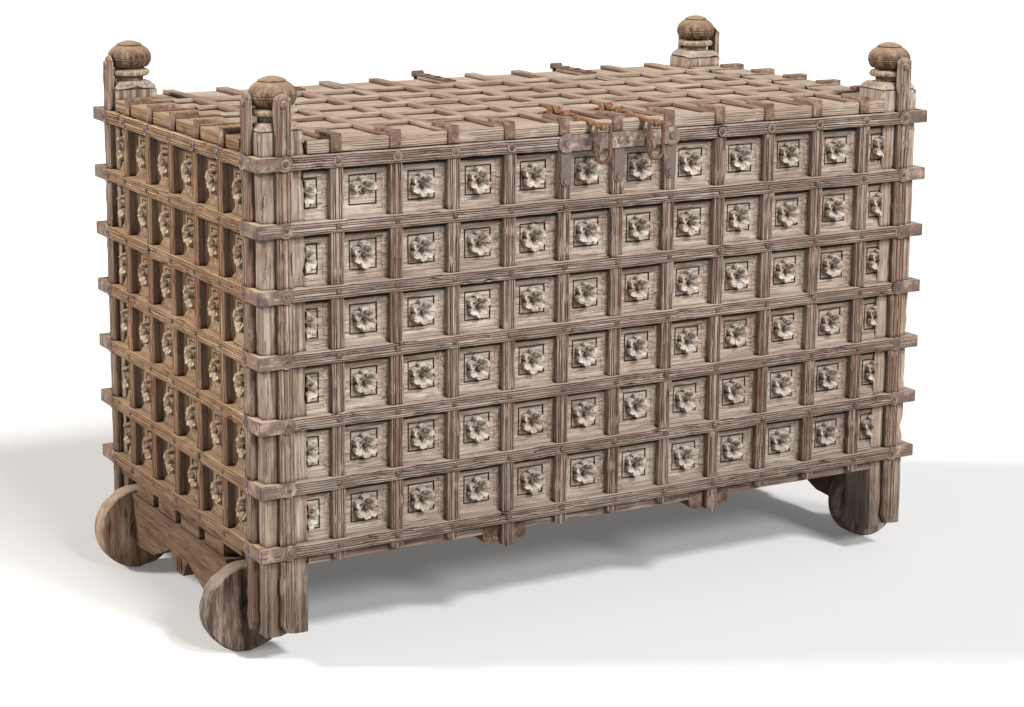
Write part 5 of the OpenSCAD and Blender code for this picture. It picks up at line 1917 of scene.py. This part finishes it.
@dataclass
class Hasps:
    """The hasp plate, the padlock eyes and the two hasps with their twisted links."""

    at: float = 0.065
    foot: tuple[float, float] = (-0.290, 1.066)
    ring: tuple[float, float] = (-0.48535, 1.05364)
    barrel_r: float = 0.0079
    barrel_w: float = 0.0139
    flat: tuple[float, float] = (0.0136, 0.0066)
    twisted: tuple[float, float] = (0.0106, 0.0058)
    twist: tuple[float, float] = (0.14, 0.50)
    turns: float = 1.0
    steps: int = 60
    plate_iron: IronFinish = IronFinish("hasp plate iron", (102, 91, 84), (142, 122, 110),
                                        (214, 200, 188), "iron", scale=60.0, rust_share=0.3,
                                        low=(84, 79, 79), low_z=1.0005)
    eye_iron: IronFinish = IronFinish("eye iron", (110, 102, 98), (134, 112, 100),
                                      (206, 198, 192), "dark_iron", scale=90.0, rust_share=0.3)
    rusty: IronFinish = IronFinish("hasp rust", (84, 54, 38), (142, 98, 68), (186, 154, 128),
                                   "rust", scale=85.0)
    brown: IronFinish = IronFinish("ring rust", (66, 46, 38), (112, 80, 64), (152, 126, 112),
                                   "rust", scale=95.0)

    def link(self, title: str, at: float) -> None:
        """Builds one link: a bar with a twist between two barrels.

        Args:
            title: Which of the two.
            at: Its place along the chest.
        """
        mesh = bmesh.new()
        start = PLAN @ Vector((at, *self.foot))
        end = PLAN @ Vector((at, *self.ring))
        way = end - start
        rise = AXES[0].cross(way.normalized())
        rings = []
        for step in range(self.steps + 1):
            share = 0.015 + 0.97 * step / self.steps
            inside = min(max((share - self.twist[0]) / (self.twist[1] - self.twist[0]), 0.0), 1.0)
            angle = inside * self.turns * 2.0 * math.pi
            thin = min(min(inside, 1.0 - inside) * 8.0, 1.0)
            width = self.flat[0] + (self.twisted[0] - self.flat[0]) * thin
            thick = self.flat[1] + (self.twisted[1] - self.flat[1]) * thin
            ring = []
            for across, up in ((-1.0, -1.0), (1.0, -1.0), (1.0, 1.0), (-1.0, 1.0)):
                x, y = across * width / 2.0, up * thick / 2.0
                ring.append(mesh.verts.new(
                    start + way * share
                    + AXES[0] * (x * math.cos(angle) - y * math.sin(angle))
                    + rise * (x * math.sin(angle) + y * math.cos(angle))))
            rings.append(ring)
        skin(mesh, rings)
        half = Vector((self.barrel_w / 2.0, 0.0, 0.0))
        for middle in (start, end):
            tube(mesh, self.barrel_r, middle - half, middle + half, 20)
        hand_over(mesh, f"hasp_link_{title}_twisted", self.rusty, f"{title}_hasp_link",
                  [f"hasp_link_{title}"])

    def build(self) -> None:
        """Builds the links and dresses the rest of the hasps."""
        dress("hasp_plate", self.plate_iron)
        dress("padlock_eyes", self.eye_iron)
        dress("hasp_feet", self.rusty)
        for title, sign in (("left", -1.0), ("right", 1.0)):
            self.link(title, sign * self.at)
            dress(f"hasp_ring_{title}", self.brown)


def seen_directly(tree: bpy.types.NodeTree) -> Socket:
    """A factor that is 1 for what the camera, a gloss or a glass shows, else 0.

    Args:
        tree: The node tree of a material or a world.

    Returns:
        The factor socket.
    """
    path = put_node(tree, "ShaderNodeLightPath")
    seen = path.outputs["Is Camera Ray"]
    for ray in ("Is Glossy Ray", "Is Transmission Ray"):
        either = put_node(tree, "ShaderNodeMath")
        either.operation = "MAXIMUM"
        tree.links.new(seen, either.inputs[0])
        tree.links.new(path.outputs[ray], either.inputs[1])
        seen = either.outputs[0]
    return seen


@dataclass(frozen=True)
class Lamp:
    """A far soft lamp: the way to it, its light, its width in degrees and its colour."""

    name: str
    towards: tuple[float, float, float]
    power: float
    angle: float
    colour: tuple[float, float, float] = (1.0, 1.0, 1.0)
    distance: float = 3.0

    def build(self) -> None:
        """Hangs the lamp, turned towards the chest."""
        data = bpy.data.lights.new(self.name, "SUN")
        data.energy = self.power
        data.angle = math.radians(self.angle)
        data.color = self.colour
        lamp = bpy.data.objects.new(self.name, data)
        lamp.location = Vector(self.towards) * self.distance
        lamp.rotation_mode = "QUATERNION"
        lamp.rotation_quaternion = (-Vector(self.towards)).to_track_quat("-Z", "Y")
        bpy.context.scene.collection.objects.link(lamp)


@dataclass
class Studio:
    """The floor, the lights and the camera."""

    azimuth: float = 30.129
    elevation: float = 11.1231
    roll: float = 0.4526
    distance: float = 5.2206
    lens_px: float = 2292.979
    frame_w: int = 1024
    frame_h: int = 707
    middle_px: tuple[float, float] = (512.0, 263.5)
    target: tuple[float, float, float] = (0.0024, 0.0, 0.6763)
    sensor: float = 36.0
    world: float = 0.18
    floor_white: float = 0.12
    floor_size: float = 30.0
    floor_pale: tuple[float, ...] = (0.97, 0.97, 0.97, 1.0)
    floor_dull: tuple[float, ...] = (0.45, 0.45, 0.45, 1.0)
    white: tuple[float, ...] = (1.0, 1.0, 1.0, 1.0)
    lamps: tuple[Lamp, ...] = (
        Lamp("front", (0.220, -0.680, 0.700), 2.10, 9.0, (1.0, 0.985, 0.97)),
        Lamp("low", (0.080, -0.862, 0.500), 1.50, 12.0),
        Lamp("left", (-0.740, 0.420, 0.525), 2.95, 10.0, (1.0, 0.955, 0.89)))

    def camera(self) -> None:
        """Stands the camera where the photograph was taken."""
        azimuth, elevation = math.radians(self.azimuth), math.radians(self.elevation)
        back = Vector((-math.sin(azimuth) * math.cos(elevation),
                       -math.cos(azimuth) * math.cos(elevation), math.sin(elevation)))
        target = PLAN @ Vector(self.target)
        data = bpy.data.cameras.new("photograph")
        data.sensor_width = self.sensor
        data.lens = self.lens_px * self.sensor / self.frame_w
        data.shift_x = (self.frame_w / 2.0 - self.middle_px[0]) / self.frame_w
        data.shift_y = (self.middle_px[1] - self.frame_h / 2.0) / self.frame_w
        eye = bpy.data.objects.new("photograph", data)
        eye.location = target + back * self.distance
        eye.rotation_mode = "QUATERNION"
        turn = (-back).to_track_quat("-Z", "Y")
        eye.rotation_quaternion = turn @ Euler((0.0, 0.0, math.radians(self.roll))).to_quaternion()
        bpy.context.scene.collection.objects.link(eye)
        bpy.context.scene.camera = eye

    def floor(self) -> None:
        """Lays a plain pale floor."""
        mesh = bmesh.new()
        bmesh.ops.create_grid(mesh, x_segments=1, y_segments=1, size=self.floor_size)
        data = bpy.data.meshes.new("floor")
        mesh.to_mesh(data)
        mesh.free()
        piece = bpy.data.objects.new("floor", data)
        bpy.context.scene.collection.objects.link(piece)
        bench = NodeBench("floor")
        bench.shader.inputs["Roughness"].default_value = 1.0
        bench.shader.inputs["Specular IOR Level"].default_value = 0.0
        bench.shader.inputs["Base Color"].default_value = self.floor_pale
        glow = put_node(bench.tree, "ShaderNodeEmission")
        dull = put_node(bench.tree, "ShaderNodeBsdfDiffuse", Color=self.floor_dull)
        lit = put_node(bench.tree, "ShaderNodeMixShader")
        lit.inputs[0].default_value = self.floor_white
        bench.link(bench.shader.outputs["BSDF"], lit.inputs[1])
        bench.link(glow.outputs["Emission"], lit.inputs[2])
        choice = put_node(bench.tree, "ShaderNodeMixShader")
        bench.link(seen_directly(bench.tree), choice.inputs[0])
        bench.link(dull.outputs["BSDF"], choice.inputs[1])
        bench.link(lit.outputs["Shader"], choice.inputs[2])
        bench.link(choice.outputs["Shader"], bench.output.inputs["Surface"])
        data.materials.append(bench.material)

    def sky(self) -> None:
        """Lights the scene softly and shows white to the camera."""
        world = bpy.data.worlds.new("studio")
        bpy.context.scene.world = world
        world.use_nodes = True
        tree = world.node_tree
        tree.nodes.clear()
        mix = put_node(tree, "ShaderNodeMixShader")
        tree.links.new(seen_directly(tree), mix.inputs[0])
        for number, strength in enumerate((self.world, 1.0), 1):
            light = put_node(tree, "ShaderNodeBackground", Color=self.white, Strength=strength)
            tree.links.new(light.outputs[0], mix.inputs[number])
        output = put_node(tree, "ShaderNodeOutputWorld")
        tree.links.new(mix.outputs[0], output.inputs["Surface"])

    def build(self) -> None:
        """Builds the studio."""
        self.camera()
        self.floor()
        self.sky()
        for lamp in self.lamps:
            lamp.build()
        bpy.context.scene.view_settings.view_transform = "Standard"


def main() -> None:
    """Builds the studio and dresses every sub-assembly of the chest."""
    logging.basicConfig(level=logging.INFO, format="%(message)s")
    noise.seed_set(WEAR_SEED)
    Studio().build()
    for side in Side:
        lattice = Lattice(side)
        lattice.bands()
        lattice.rebates()
        lattice.uprights()
        Panels(side).build()
        Flowers(side).build()
    Nails().build()
    Posts().build()
    CornerIrons().build()
    Underframe().build()
    Wheels().build()
    Lid().build()
    Hinges().build()
    Hasps().build()
    bpy.context.view_layer.update()


if __name__ == "__main__":
    main()
